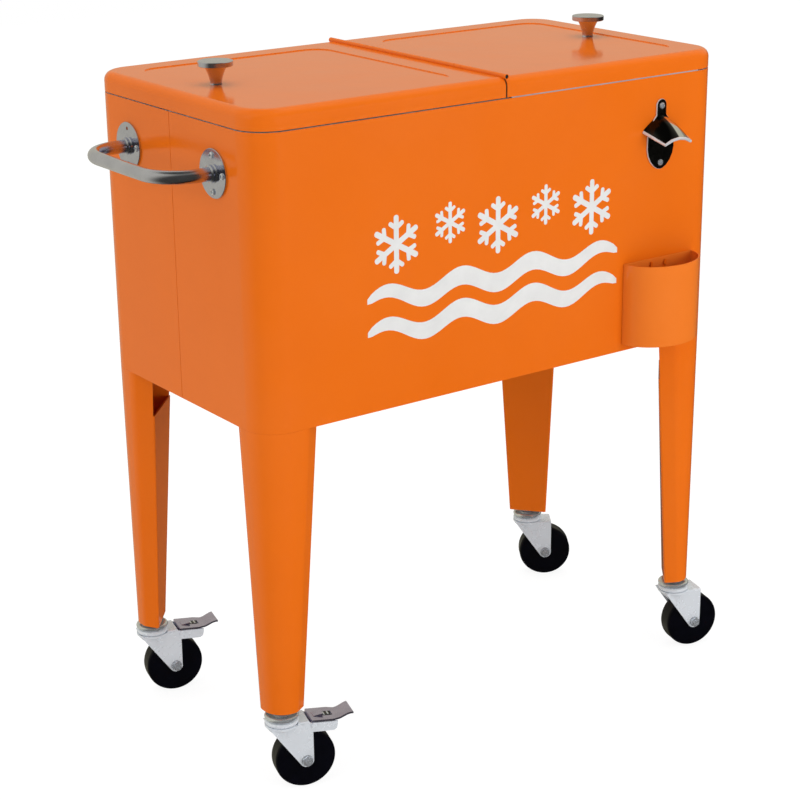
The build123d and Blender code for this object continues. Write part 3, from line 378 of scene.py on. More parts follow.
along_tube = (2200, 90, 2200)
round_knob = (900, 900, 60)
satin = metal_finish("satin_steel", (0.60, 0.62, 0.78), (0.70, 0.72, 0.90), 0.12, 0.19, 30.0, along_tube)
flange_satin = metal_finish("turned_steel", (0.56, 0.58, 0.74), (0.66, 0.69, 0.86), 0.08, 0.14, 60.0)
chrome = metal_finish("polished_chrome", (0.72, 0.72, 0.73), (0.8, 0.8, 0.81), 0.05, 0.09, 40.0)
# The opener plate's chrome is near black to mid grey: a painted dark reflection. The next finish, pale and partly
# metallic, puts a painted highlight on the plate's edges and on the rim bead.
plate_painted_dark_reflection = metal_finish("plate_chrome_painted_dark_reflection", (0.01, 0.01, 0.012), (0.34, 0.34, 0.36), 0.08, 0.2, 420.0)
bright_rim = metal_finish("bright_rim", (0.72, 0.72, 0.74), (0.84, 0.84, 0.86), 0.14, 0.24, 60.0, metal=0.35)
knob_metal = metal_finish("turned_chrome", (0.58, 0.6, 0.76), (0.68, 0.7, 0.88), 0.12, 0.2, 50.0, round_knob)
zinc = metal_finish("zinc_plate", (0.78, 0.82, 0.87), (0.80, 0.84, 0.89), 0.25, 0.29, 26.0, metal=0.2)
race_zinc = metal_finish("race_zinc", (0.66, 0.7, 0.74), (0.76, 0.8, 0.84), 0.14, 0.22, 60.0, metal=0.75)
pedal_zinc = metal_finish("pedal_zinc", (0.50, 0.46, 0.64), (0.58, 0.54, 0.74), 0.16, 0.26, 60.0, metal=0.95)
hood_painted_reflection = painted_reflection_finish("hood_chrome_painted_reflection", HOOD_PAINTED_REFLECTION)
bright_screw = metal_finish("screw_zinc", (0.66, 0.70, 0.76), (0.78, 0.82, 0.88), 0.2, 0.3, 200.0, metal=0.7)
pale_strip_finish = metal_finish("pale_strip", (0.62, 0.6, 0.57), (0.75, 0.73, 0.7), 0.35, 0.5, 60.0)
dull_sheet = metal_finish("galvanised", (0.42, 0.44, 0.46), (0.62, 0.64, 0.66), 0.35, 0.5, 25.0)
print("metals", [m.name for m in bpy.data.materials if m.name != "floor_paint"])

# %% [markdown]
# ### Rubber and plastic
# The wheels are moulded black rubber with a soft sheen, the liner is off-white plastic, and the lids
# close on a grey rubber strip. These differ in colour and gloss, so one maker with values serves them.

# %% Plastics
def plastic_finish(name, dark, light, low, high, patch_scale, bump, bump_scale, shine=0.5):
    """A moulded plastic or rubber with a fine skin texture."""
    scales = (patch_scale, patch_scale * 1.7)
    ripple = (bump_scale, 1.0, 30.0)
    return patchy_finish(name, dark, light, scales, (low, high), ripple, bump, Specular_IOR_Level=shine)


rubber_tones = (0.001, 0.001, 0.003), (0.002, 0.002, 0.006)
wheel_rubber = plastic_finish("wheel_rubber", *rubber_tones, 0.34, 0.5, 60.0, 0.00008, 1200.0, 0.2)
liner_tones = (0.66, 0.66, 0.65), (0.74, 0.74, 0.73)
liner_white = plastic_finish("liner_white", *liner_tones, 0.3, 0.42, 8.0, 0.0002, 900.0)
pale_tones = (0.30, 0.31, 0.34), (0.38, 0.39, 0.42)
seal_pale = plastic_finish("seal_pale", *pale_tones, 0.4, 0.5, 30.0, 0.00005, 1500.0)
seal_tones = (0.30, 0.30, 0.31), (0.38, 0.38, 0.39)
seal_grey = plastic_finish("seal_grey", *seal_tones, 0.5, 0.65, 30.0, 0.0001, 1500.0)
foam_tones = (0.62, 0.55, 0.36), (0.72, 0.65, 0.45)
foam_cream = plastic_finish("foam_cream", *foam_tones, 0.8, 0.95, 60.0, 0.0006, 400.0)
drain_tones = (0.012, 0.012, 0.012), (0.025, 0.025, 0.025)
drain_black = plastic_finish("drain_black", *drain_tones, 0.35, 0.5, 40.0, 0.0001, 900.0)
ink_tones = (0.72, 0.72, 0.71), (0.78, 0.78, 0.77)
ink_white = plastic_finish("ink_white", *ink_tones, 0.3, 0.42, 40.0, 0.00005, 900.0)
print("finishes", len(bpy.data.materials))

# %% [markdown]
# ### Finishes on the frame's own pieces
# Many frame pieces already have their true shape: nuts, liner, foam, plates. They stay, and only get
# a better finish in their material slots.

# %% Dress the frame
SLOT_FINISH = {
    "orange_paint": orange,
    "galvanised_sheet": dull_sheet,
    "liner_plastic": liner_white,
    "foam": foam_cream,
    "gasket_rubber": seal_grey,
    "satin_steel": satin,
    "chrome": chrome,
    "screw_steel": bright_screw,
    "drain_plastic": drain_black,
    "zinc": zinc,
    "wheel_rubber": wheel_rubber,
}
slot_of = {part["node"]: part["material_slot"] for part in frame["record"]["subparts"]}
for name, node in nodes.items():
    node.data.materials.clear()
    node.data.materials.append(SLOT_FINISH[slot_of[name]])
nodes["catcher_hooks"].data.materials[0] = orange
print("dressed", len(slot_of), "nodes")

# %% [markdown]
# ## Modelling by hand, in code
# Every new piece starts as a primitive at its real size and is shaped in edit mode, as at the screen.
# A few small helpers keep that readable: leave one object active, pick parts of a mesh by place, apply
# a modifier, cut one piece with another.

# %% Helpers for objects
def nothing_selected():
    """Object mode with nothing selected, ready for a new primitive."""
    if bpy.context.mode != "OBJECT":
        bpy.ops.object.mode_set(mode="OBJECT")
    bpy.ops.object.select_all(action="DESELECT")


def only(piece):
    """Object mode with one piece selected and active."""
    nothing_selected()
    piece.select_set(True)
    bpy.context.view_layer.objects.active = piece


def named(piece, name):
    """Gives an object and its mesh one name."""
    piece.name = name
    piece.data.name = name
    return piece


def settled(name):
    """Names the active object and puts its place, turn and size into its mesh."""
    piece = named(bpy.context.active_object, name)
    only(piece)
    bpy.ops.object.transform_apply(location=True, rotation=True, scale=True)
    return piece


def new_block(name, low, high):
    """A box between two corners."""
    nothing_selected()
    low, high = Vector(low), Vector(high)
    bpy.ops.mesh.primitive_cube_add(size=1, location=(low + high) / 2)
    bpy.context.active_object.scale = high - low
    return settled(name)


def new_rod(name, start, end, radius, sides=48):
    """A cylinder between two points."""
    nothing_selected()
    start, end = Vector(start), Vector(end)
    way = end - start
    bpy.ops.mesh.primitive_cylinder_add(
        vertices=sides,
        radius=radius,
        depth=way.length,
        location=(start + end) / 2,
        rotation=way.to_track_quat("Z", "Y").to_euler(),
    )
    return settled(name)


def new_ring(name, points, fill="NOTHING"):
    """A ring of edges through the given points, from a circle whose corners are moved."""
    nothing_selected()
    bpy.ops.mesh.primitive_circle_add(vertices=len(points), radius=1, fill_type=fill)
    piece = settled(name)
    for vertex, point in zip(piece.data.vertices, points):
        vertex.co = point
    return piece


def new_outline(name, points):
    """A flat face through the given points."""
    return new_ring(name, points, "NGON")


def new_grid(name, columns, rows):
    """A flat grid of one by one, ready to be shaped point by point."""
    nothing_selected()
    bpy.ops.mesh.primitive_grid_add(x_subdivisions=columns, y_subdivisions=rows, size=1)
    return settled(name)


def new_line(name, points):
    """An open line through the given points: a ring without its last edge."""
    piece = new_ring(name, points)
    last = len(points) - 1
    remove(piece, "EDGE", lambda edge: {v.index for v in edge.verts} == {0, last})
    return piece


def copy_of(piece, name):
    """A copy with its own mesh."""
    twin = piece.copy()
    twin.data = piece.data.copy()
    bpy.context.scene.collection.objects.link(twin)
    return named(twin, name)


def moved(piece, offset):
    """Shifts a piece, in its mesh."""
    piece.data.transform(Matrix.Translation(offset))
    return piece


def standing(place, way):
    """The turn and shift that put a piece drawn along Z on a place, pointing along way."""
    turn = Vector(way).to_track_quat("Z", "Y").to_matrix().to_4x4()
    return Matrix.Translation(Vector(place)) @ turn


def joined(name, pieces):
    """Joins several pieces into one object."""
    only(pieces[0])
    for piece in pieces[1:]:
        piece.select_set(True)
    if len(pieces) > 1:
        bpy.ops.object.join()
    return named(pieces[0], name)


def drop(*pieces):
    """Removes pieces that were only patterns for others."""
    for piece in pieces:
        bpy.data.objects.remove(piece)


print("object helpers ready")

# %% Helpers for edit mode
def object_mode():
    bpy.ops.object.mode_set(mode="OBJECT")


def pick_all(piece, action="SELECT", kind="VERT"):
    """Enters edit mode with everything selected, or nothing."""
    only(piece)
    bpy.ops.object.mode_set(mode="EDIT")
    bpy.ops.mesh.select_mode(type=kind)
    bpy.ops.mesh.select_all(action=action)


def pick(piece, kind, test):
    """Enters edit mode and selects the vertices, edges or faces that pass a test."""
    pick_all(piece, "DESELECT", kind)
    mesh = bmesh.from_edit_mesh(piece.data)
    mesh.normal_update()
    items = {"VERT": mesh.verts, "EDGE": mesh.edges, "FACE": mesh.faces}[kind]
    chosen = [item for item in items if test(item)]
    for item in chosen:
        item.select_set(True)
    mesh.select_flush_mode()
    bmesh.update_edit_mesh(piece.data)
    return len(chosen)


def edge_middle(edge):
    return (edge.verts[0].co + edge.verts[1].co) / 2


def edge_way(edge):
    return (edge.verts[1].co - edge.verts[0].co).normalized()


def upright(edge):
    return abs(edge_way(edge).z) > 0.99


def level_at(edge, height, slack=1e-5):
    """True for an edge whose two ends lie at one height."""
    return all(abs(v.co.z - height) < slack for v in edge.verts)


def round_edges(piece, test, width, segments):
    """Bevels the edges that pass a test."""
    count = pick(piece, "EDGE", test)
    bpy.ops.mesh.bevel(
        offset=width, offset_type="OFFSET", segments=segments, affect="EDGES", clamp_overlap=False
    )
    object_mode()
    return count


def remove(piece, kind, test):
    """Deletes the vertices, edges or faces that pass a test."""
    count = pick(piece, kind, test)
    bpy.ops.mesh.delete(type=kind)
    object_mode()
    return count


def extrude(offset):
    """Draws what is selected out along an offset."""
    bpy.ops.mesh.extrude_region_move(TRANSFORM_OT_translate={"value": offset})


def raised(piece, offset):
    """Draws the whole of a flat piece out along an offset."""
    pick_all(piece)
    extrude(offset)
    object_mode()
    return piece


def cut_away(piece, point, normal, fill=False):
    """Removes everything on the far side of a plane."""
    pick_all(piece)
    bpy.ops.mesh.bisect(plane_co=point, plane_no=normal, use_fill=fill, clear_outer=True, clear_inner=False)
    object_mode()


def tidy_mesh(piece, distance=1e-6):
    """Merges doubled points and turns every face outward."""
    pick_all(piece)
    bpy.ops.mesh.remove_doubles(threshold=distance)
    bpy.ops.mesh.normals_make_consistent(inside=False)
    object_mode()


print("edit helpers ready")

# %% Helpers for modifiers
def modify(piece, kind, **values):
    """Adds a modifier, sets it and applies it."""
    only(piece)
    step = piece.modifiers.new(kind.lower(), kind)
    for label, value in values.items():
        setattr(step, label, value)
    bpy.ops.object.modifier_apply(modifier=step.name)


def carve(piece, cutter, operation="DIFFERENCE"):
    """Cuts, joins or crosses a piece with another, which is used up."""
    modify(piece, "BOOLEAN", object=cutter, operation=operation, solver="EXACT")
    drop(cutter)


def soften(piece, width, segments=2, angle=40):
    """Rounds every sharp edge a little."""
    modify(
        piece,
        "BEVEL",
        width=width,
        segments=segments,
        limit_method="ANGLE",
        angle_limit=radians(angle),
        use_clamp_overlap=True,
        harden_normals=False,
    )


def smooth(piece, angle=35):
    """Shades smooth, sharp only over a corner, with flat faces kept flat."""
    only(piece)
    bpy.ops.object.shade_smooth_by_angle(angle=radians(angle))
    modify(piece, "WEIGHTED_NORMAL", keep_sharp=True, weight=60)


def dress(piece, finish, body, slot, *replaced, angle=35):
    """The last step of every piece: shading, finish, the body it rides on, the nodes it stands for."""
    smooth(piece, angle)
    piece.data.materials.clear()
    piece.data.materials.append(finish)
    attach(piece, body)
    if replaced:
        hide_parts(*replaced)
    return piece


print("modifier helpers ready")

# %% [markdown]
# ## The cabinet shell
# Two sheets of thin steel are bent round the corners and meet in a seam on each end. A rounded box
# could be filled in one go, but a sheet has a thickness and a seam that catches the light, so a box
# gets its corners bevelled, loses its top and bottom, is cut in two and is given its thickness.

# %% Shell sheets
shell_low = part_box("front_shell_panel")[0]
shell_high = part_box("rear_shell_panel")[1]
HALF_LENGTH = shell_high.x
SIDES = (("left", -1), ("right", 1))
CORNER = 40 * MM
SHEET = 1.2 * MM
CORNER_STEPS = 20
SEAM_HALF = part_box("rear_shell_panel")[0].y - MIDDLE_Y

sheet_box = new_block("shell", shell_low, shell_high)
round_edges(sheet_box, upright, CORNER, CORNER_STEPS)
remove(sheet_box, "FACE", lambda face: abs(face.normal.z) > 0.9)
for name, side in (("front", -1), ("rear", 1)):
    panel = copy_of(sheet_box, f"{name}_sheet")
    cut_away(panel, (0, MIDDLE_Y + side * SEAM_HALF, 0), (0, -side, 0))
    modify(panel, "SOLIDIFY", thickness=SHEET, offset=-1)
    soften(panel, 0.4 * MM)
    dress(panel, orange, "cabinet", "orange_paint", f"{name}_shell_panel")
drop(sheet_box)
print("shell", [round(v, 3) for v in shell_high - shell_low])

# %% [markdown]
# ## The lids
# Each lid is a pressed sheet: a rim with a generous radius, and a panel pressed down a little inside a
# rounded line. Both lids are cut from one rounded box so that their outer corners match the cabinet. A
# pale strip stands in the seam under the right lid, where the gasket shows.

# %% Lid blank
LID_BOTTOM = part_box("lid_left_skin")[0].z
LID_TOP = LID_BOTTOM + 23.5 * MM
LID_EDGE = 11 * MM
LID_SPLIT = 1.2 * MM
PANEL_DROP = 1.1 * MM
PANEL_BORDER = 40 * MM
PANEL_INNER_BORDER = 43 * MM
PANEL_CORNER = 25 * MM
HINGE_HEIGHT = next(j for j in frame["joints"] if j["name"] == "lid_left_hinge")["pos_m"][2]

blank = new_block("lid_blank", (shell_low.x, shell_low.y, LID_BOTTOM), (shell_high.x, shell_high.y, LID_TOP))
round_edges(blank, upright, CORNER, CORNER_STEPS)
round_edges(blank, lambda edge: level_at(edge, LID_TOP), LID_EDGE, 10)
remove(blank, "FACE", lambda face: face.normal.z < -0.9)
print("lid height", round((LID_TOP - LID_BOTTOM) / MM, 1), "mm")

# %% Lid pressing
def press_panel(lid, side):
    """Sinks the middle of the lid inside a rounded line and softens both steps."""
    inner = side * PANEL_INNER_BORDER
    outer = side * (HALF_LENGTH - PANEL_BORDER)
    low = (min(inner, outer), shell_low.y + PANEL_BORDER, LID_TOP - PANEL_DROP)
    high = (max(inner, outer), shell_high.y - PANEL_BORDER, LID_TOP + LID_EDGE)
    punch = new_block("punch", low, high)
    round_edges(punch, upright, PANEL_CORNER, 12)
    carve(lid, punch)

    def in_plan(point):
        return all(low[axis] - 1e-4 < point[axis] < high[axis] + 1e-4 for axis in (0, 1))

    def step_edge(edge):
        at_step = level_at(edge, LID_TOP) or level_at(edge, LID_TOP - PANEL_DROP)
        return at_step and all(in_plan(v.co) for v in edge.verts)

    return round_edges(lid, step_edge, 0.5 * MM, 3)


def lid_skin(name, side, corner_round):
    """One lid: half of the blank, with its inner wall, its pressed panel and its thickness."""
    lid = copy_of(blank, f"{name}_lid")
    cut_away(lid, (side * LID_SPLIT, 0, 0), (-side, 0, 0), fill=True)
    pressed = press_panel(lid, side)

    def inner_rim(edge):
        at_wall = all(abs(v.co.x - side * LID_SPLIT) < 1e-5 for v in edge.verts)
        return at_wall and not level_at(edge, LID_BOTTOM)

    round_edges(lid, inner_rim, corner_round, 4)
    modify(lid, "SOLIDIFY", thickness=SHEET, offset=-1)
    soften(lid, 0.35 * MM)
    print(name, "lid step edges", pressed)
    return lid


left_lid = lid_skin("left", -1, 1.2 * MM)
right_lid = lid_skin("right", 1, 2.6 * MM)
drop(blank)
strip_low = (8 * MM, FRONT_FACE + 0.5 * MM, shell_high.z)
strip_high = (HALF_LENGTH - CORNER, FRONT_FACE + 2.5 * MM, LID_BOTTOM)
seam_strip = new_block("seam_strip", strip_low, strip_high)
dress(seam_strip, seal_pale, "lid_right", "gasket_rubber")
print("seam", round((LID_BOTTOM - shell_high.z) / MM, 2), "mm high")

# %% [markdown]
# ## The hinge line
# The lids meet over a rod. The right lid's sheet rolls round it nearly the whole way, the left lid
# takes two short stretches, and two lugs from the bar below hold it. From a step away it is one slim
# orange bead; a short near-black rod set in each end of its hole is painted shade.

# %% Hinge knuckles
KNUCKLE = 3.2 * MM
ROD_HOLE = 2.4 * MM
LEAF_REACH = KNUCKLE + 4 * MM
LEAF_SINK = 0.1 * MM
KNUCKLE_STEPS = 24
LUG_OUT = 99 * MM
LUG_IN = 85 * MM
SHORT_IN = 70.5 * MM
GAP = 0.2 * MM
HALF_DEPTH = (shell_high.y - shell_low.y) / 2


def on_hinge(y):
    """A point on the hinge line, measured from its middle."""
    return (0, MIDDLE_Y + y, HINGE_HEIGHT)


def knuckle(low, high):
    """One rolled stretch of the hinge bead, open at its ends."""
    bead = new_rod("bead", on_hinge(low), on_hinge(high), KNUCKLE, KNUCKLE_STEPS)
    pick(bead, "FACE", lambda face: abs(face.normal.y) > 0.9)
    bpy.ops.mesh.inset(thickness=KNUCKLE - ROD_HOLE, depth=0)
    bpy.ops.mesh.inset(thickness=0.01 * MM, depth=-3 * MM)
    object_mode()
    soften(bead, 0.3 * MM)
    return bead


def leaf(side, low, high):
    """The strip that joins a knuckle to its lid, stopped short of the lid's rounded rim at the ends."""
    rim = HALF_DEPTH - LID_EDGE
    x = sorted((0, side * LEAF_REACH))
    top = LID_TOP - LEAF_SINK
    strip_low = (x[0], MIDDLE_Y + max(low, -rim), top - SHEET)
    strip = new_block("leaf", strip_low, (x[1], MIDDLE_Y + min(high, rim), top))
    soften(strip, 0.3 * MM)
    return strip


right_runs = [(-HALF_DEPTH, -LUG_OUT), (-SHORT_IN + GAP, SHORT_IN - GAP), (LUG_OUT, HALF_DEPTH)]
left_runs = [(-LUG_IN + GAP, -SHORT_IN), (SHORT_IN, LUG_IN - GAP)]
for name, side, lid, runs in (("right", 1, right_lid, right_runs), ("left", -1, left_lid, left_runs)):
    pieces = [lid] + [knuckle(*run) for run in runs] + [leaf(side, *run) for run in runs]
    dress(joined(f"{name}_lid", pieces), orange, f"lid_{name}", "orange_paint", f"lid_{name}_skin")
# Painted shade: a short near-black rod set a little inside each end of the hinge hole, where the hole is dark.
hole_shades = []
for side in (-1, 1):
    inner = on_hinge(side * (HALF_DEPTH - 2.5 * MM))
    outer = on_hinge(side * (HALF_DEPTH - 0.6 * MM))
    hole_shades.append(new_rod("hole_shade", inner, outer, ROD_HOLE - 0.02 * MM, 24))
dress(joined("hinge_hole_painted_shade", hole_shades), drain_black, "lid_right", "screw_steel")
print("knuckles", len(right_runs) + len(left_runs))

# %% Centre bar and lugs
LUG_WEB_HALF = 1.1 * MM
bar_low, bar_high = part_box("hinge_bar")
bar_top = shell_high.z
bar = new_block("centre_bar", bar_low, (bar_high.x, bar_high.y, bar_top))
soften(bar, 2 * MM, 4)
lugs = []
for side in (-1, 1):
    middle = side * (LUG_IN + LUG_OUT) / 2
    half = (LUG_OUT - LUG_IN) / 2 - GAP
    lugs.append(knuckle(middle - half, middle + half))
    web_low = (-LUG_WEB_HALF, MIDDLE_Y + middle - half, bar_top - 2 * MM)
    lugs.append(new_block("lug_web", web_low, (LUG_WEB_HALF, MIDDLE_Y + middle + half, HINGE_HEIGHT)))
dress(bar, liner_white, "cabinet", "liner_plastic", "hinge_bar")
dress(joined("hinge_lugs", lugs), orange, "cabinet", "orange_paint")
print("bar", [round(v / MM, 1) for v in bar_high - bar_low], "mm")

# %% [markdown]
# ## Turned pieces
# Knobs, wheels, flanges and screw heads are all turned shapes. Each is drawn as half a profile and spun
# round its axis, as a lathe would make it, which keeps every ring exact.

# %% Lathe
def lathe(name, profile, start=(0, 0, 0), way=(0, 0, 1), steps=48, closed=False):
    """Spins a profile of (along, radius) pairs round an axis that leaves start along way."""
    points = [(radius, 0, along) for along, radius in profile]
    piece = new_ring(name, points) if closed else new_line(name, points)
    pick_all(piece)
    bpy.ops.mesh.spin(steps=steps, angle=2 * pi, center=(0, 0, 0), axis=(0, 0, 1))
    tidy_mesh(piece, 1e-7)
    piece.data.transform(standing(start, way))
    return piece


def in_mm(*pairs):
    """Profile points written in millimetres."""
    return [(along * MM, radius * MM) for along, radius in pairs]


def arc(centre, radius, start, end, steps):
    """Points on an arc, with angles in degrees."""
    points = []
    for step in range(steps + 1):
        angle = radians(start + (end - start) * step / steps)
        points.append((centre[0] + radius * cos(angle), centre[1] + radius * sin(angle)))
    return points


print("lathe ready")

# %% [markdown]
# ## Knobs
# A knob is a flat disc on a hollowed neck. The neck curve comes from a few points of a circle, and the
# disc has a fine chamfer on both rims because that is where a turned edge glints.

# %% Knobs
PANEL_HEIGHT = LID_TOP - PANEL_DROP
knob_low, knob_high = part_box("lid_left_knob")
knob_radius = (knob_high.x - knob_low.x) / 2
knob_height = knob_high.z - PANEL_HEIGHT + 3 * MM
KNOB_RIM = 6.0 * MM
NECK_FOOT = 6.8 * MM
NECK_TOP = 13.6 * MM
NECK_CURVE = 1.7
NECK_STEPS = 14
CHAMFER = 0.5 * MM

under = knob_height - KNOB_RIM
knob_profile = [(0, 0), (0, NECK_FOOT + CHAMFER), (CHAMFER, NECK_FOOT + CHAMFER)]
for step in range(1, NECK_STEPS + 1):
    share = step / NECK_STEPS
    neck_radius = NECK_FOOT + (NECK_TOP - NECK_FOOT) * share**NECK_CURVE
    knob_profile.append((CHAMFER + (under - CHAMFER) * share, neck_radius))
knob_profile += [
    (under, knob_radius - CHAMFER),
    (under + CHAMFER, knob_radius),
    (knob_height - CHAMFER, knob_radius),
    (knob_height, knob_radius - CHAMFER),
    (knob_height, 0),
]
for name in ("left", "right"):
    low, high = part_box(f"lid_{name}_knob")
    knob = lathe(f"{name}_knob", knob_profile, ((low.x + high.x) / 2, MIDDLE_Y, PANEL_HEIGHT), steps=64)
    dress(knob, knob_metal, f"lid_{name}", "satin_steel", f"lid_{name}_knob", angle=30)
print("knob", round(knob_radius / MM, 1), round(knob_height / MM, 1), "mm")

# %% [markdown]
# ## Screws
# Every visible screw has a low domed head with a cross recess. One head is turned and cut, and the rest
# are copies, as they would all come out of one bag.

# %% Screw head
HEAD_RADIUS = 4.0 * MM
HEAD_HEIGHT = 2.2 * MM
SHANK_RADIUS = 1.8 * MM
SHANK_DEPTH = 1.5 * MM
CROSS_LENGTH = 4.6 * MM
CROSS_WIDTH = 1.0 * MM
CROSS_DEPTH = 1.3 * MM

head_profile = [(-SHANK_DEPTH, 0), (-SHANK_DEPTH, SHANK_RADIUS), (0, SHANK_RADIUS), (0, HEAD_RADIUS)]
for step in range(1, 9):
    angle = step / 8 * pi / 2
    head_profile.append((HEAD_HEIGHT * sin(angle), HEAD_RADIUS * (1 - 0.55 * (1 - cos(angle)))))
head_profile.append((HEAD_HEIGHT, 0))
screw_head = lathe("screw_head", head_profile, steps=32)
for x, y in ((CROSS_LENGTH / 2, CROSS_WIDTH / 2), (CROSS_WIDTH / 2, CROSS_LENGTH / 2)):
    carve(screw_head, new_block("slot", (-x, -y, HEAD_HEIGHT - CROSS_DEPTH), (x, y, HEAD_HEIGHT + MM)))


def screw_at(place, outward, spin):
    """A copy of the screw head on a face, turned a little so that no two slots line up."""
    screw = copy_of(screw_head, "screw")
    screw.data.transform(standing(place, outward) @ Matrix.Rotation(spin, 4, "Z"))
    return screw


print("screw head", len(screw_head.data.polygons), "faces")

# %% [markdown]
# ## Handles
# A steel tube is bent square twice and welded into two round flanges. A curve with a bevel would give
# the same tube, but drawing out a ring by extruding and spinning it follows how a tube is bent and
# leaves an even mesh.

# %% Handle tube
TUBE_RADIUS = 8.0 * MM
HANDLE_BEND = 45.0 * MM
FLANGE_RADIUS = 28.5 * MM
FLANGE_PLATE = 2.5 * MM
COLLAR_RADIUS = 10.25 * MM
COLLAR_LENGTH = 8.0 * MM
SCREW_CIRCLE = 21.0 * MM
SCREW_HOLE = 2.2 * MM
BEND_STEPS = 16


def handle_points(side):
    """Flange centres and reach of one handle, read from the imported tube."""
    low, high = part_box("handle_left_tube" if side < 0 else "handle_right_tube")
    out = (low.x if side < 0 else high.x) - side * TUBE_RADIUS
    return side * HALF_LENGTH, out, low.y + TUBE_RADIUS, high.y - TUBE_RADIUS, (low.z + high.z) / 2


def bent_tube(name, side):
    """Extrudes and spins a ring along the handle."""
    face, out, front, rear, height = handle_points(side)
    nothing_selected()
    bpy.ops.mesh.primitive_circle_add(
        vertices=32, radius=TUBE_RADIUS, location=(face, front, height), rotation=(0, pi / 2, 0)
    )
    tube = settled(name)
    pick_all(tube)
    bend_x = out - side * HANDLE_BEND
    front_bend, rear_bend = front + HANDLE_BEND, rear - HANDLE_BEND
    steps = (((bend_x - face, 0, 0), front_bend), ((0, rear_bend - front_bend, 0), rear_bend))
    for straight, bend_y in steps:
        extrude(straight)
        centre = (bend_x, bend_y, height)
        bpy.ops.mesh.spin(steps=BEND_STEPS, angle=-side * pi / 2, center=centre, axis=(0, 0, 1))
    extrude((face - bend_x, 0, 0))
    object_mode()
    tidy_mesh(tube)
    return tube


for name, side in SIDES:
    tube = bent_tube(f"{name}_handle", side)
    dress(tube, satin, "cabinet", "satin_steel", f"handle_{name}_tube", angle=40)
print("handle reach", round(abs(handle_points(-1)[1] - handle_points(-1)[0]) / MM, 1), "mm")

# %% Flanges
def flange_disc(name, place, side):
    """A flange: a thin disc with a turned collar, its four holes cut through."""
    edge = 0.5 * MM
    fillet = 1.2 * MM
    bore = TUBE_RADIUS + 0.05 * MM
    profile = [
        (0, bore),
        (0, FLANGE_RADIUS),
        (FLANGE_PLATE - edge, FLANGE_RADIUS),
        (FLANGE_PLATE, FLANGE_RADIUS - edge),
        (FLANGE_PLATE, COLLAR_RADIUS + fillet),
        (FLANGE_PLATE + fillet, COLLAR_RADIUS),
        (COLLAR_LENGTH - 3 * edge, COLLAR_RADIUS),
        (COLLAR_LENGTH, TUBE_RADIUS + edge),
        (COLLAR_LENGTH, bore),
    ]
    disc = lathe(name, profile, place, (side, 0, 0), 64, closed=True)
    for y, z in hole_offsets:
        centre = Vector(place) + Vector((0, y, z))
        reach = Vector((0.01, 0, 0))
        carve(disc, new_rod("drill", centre - reach, centre + reach, SCREW_HOLE, 24))
    return disc


hole_offsets = [(0, SCREW_CIRCLE), (0, -SCREW_CIRCLE), (-SCREW_CIRCLE, 0), (SCREW_CIRCLE, 0)]
handle_screws = []
for name, side in SIDES:
    face, out, front, rear, height = handle_points(side)
    discs = []
    for row, y in (("front", front), ("rear", rear)):
        discs.append(flange_disc(f"{name}_{row}_flange", (face, y, height), side))
        filled = hole_offsets[2:] if (side, row) == (-1, "rear") else hole_offsets
        for index, (dy, dz) in enumerate(filled):
            place = (face + side * FLANGE_PLATE, y + dy, height + dz)
            handle_screws.append(screw_at(place, (side, 0, 0), 0.4 + index))
    dress(joined(f"{name}_flanges", discs), flange_satin, "cabinet", "satin_steel", f"handle_{name}_flanges")
dress(joined("handle_screw_heads", handle_screws), bright_screw, "cabinet", "screw_steel", "handle_screws")
print("screws", len(handle_screws))

# %% [markdown]
# ## Bottle opener
# The opener is a plated casting: a flat plate with a tab, and a hood that leans out over the mouth. The
# hood is a strip whose two ends are known, one on the plate and one at the rim, so a grid is laid
# between them, bulged a little, thickened and smoothed. A round bead follows the rim: a line of points
# becomes a curve with a thickness, which keeps the bead even round every corner.

# %% Opener sizes
OPENER_PLATE = 2.5 * MM
HOOD_SHEET = 3.4 * MM
TAB_RADIUS = 8
TAB_HEIGHT = 776
ROOT_HALF = [(-27.8, 748), (-18, 755), (-9, 761), (-5, 763)]
RIM_HALF = [(-27.8, 0, 746), (-24.5, 16.5, 740), (-21.2, 33, 734), (-11, 34.4, 738.8)]
SPADE = [(-8, 764), (-18, 752), (-22, 738), (-22.4, 722)]
SPADE += [(-20.5, 713), (-16.5, 705.5), (-11, 699.5), (-5, 696)]
HOOD_ROWS = 8
HOOD_BULGE = 2.2
RIM_RADIUS = 1.9 * MM
RIM_DROP = 1.2


def both_halves(half, middle):
    """Points on the left, the middle and the same points mirrored to the right."""
    return half + [middle] + [(-point[0], *point[1:]) for point in reversed(half)]


def on_opener(x, out, z):
    """A point of the opener's drawing: across and height in millimetres, out from the panel in metres."""
    return Vector((OPENER_X + x * MM, FRONT_FACE - out, z * MM))


ROOT_LINE = both_halves(ROOT_HALF, (0, 764))
RIM_LINE = both_halves(RIM_HALF, (0, 34.8, 740.3))
print("opener drawing", len(RIM_LINE), "columns")

# %% Opener plate
outline = both_halves(SPADE, (0, 695)) + arc((0, TAB_HEIGHT), TAB_RADIUS, 0, 180, 12)
plate = new_outline("opener_plate", [on_opener(x, 0, z) for x, z in outline])
modify(plate, "SOLIDIFY", thickness=OPENER_PLATE, offset=0)
moved(plate, (0, -OPENER_PLATE / 2, 0))
tidy_mesh(plate)
soften(plate, 0.8 * MM, 3, 50)
# Painted light on the plate: its face keeps the dark reflection painted into its finish, and faces that look
# sideways take the pale finish as a painted highlight.
dress(plate, plate_painted_dark_reflection, "cabinet", "chrome", "bottle_opener", angle=50)
plate.data.materials.append(bright_rim)
for face in plate.data.polygons:
    face.material_index = 1 if abs(face.normal.y) < 0.75 else 0
print("opener plate", len(plate.data.polygons), "faces")

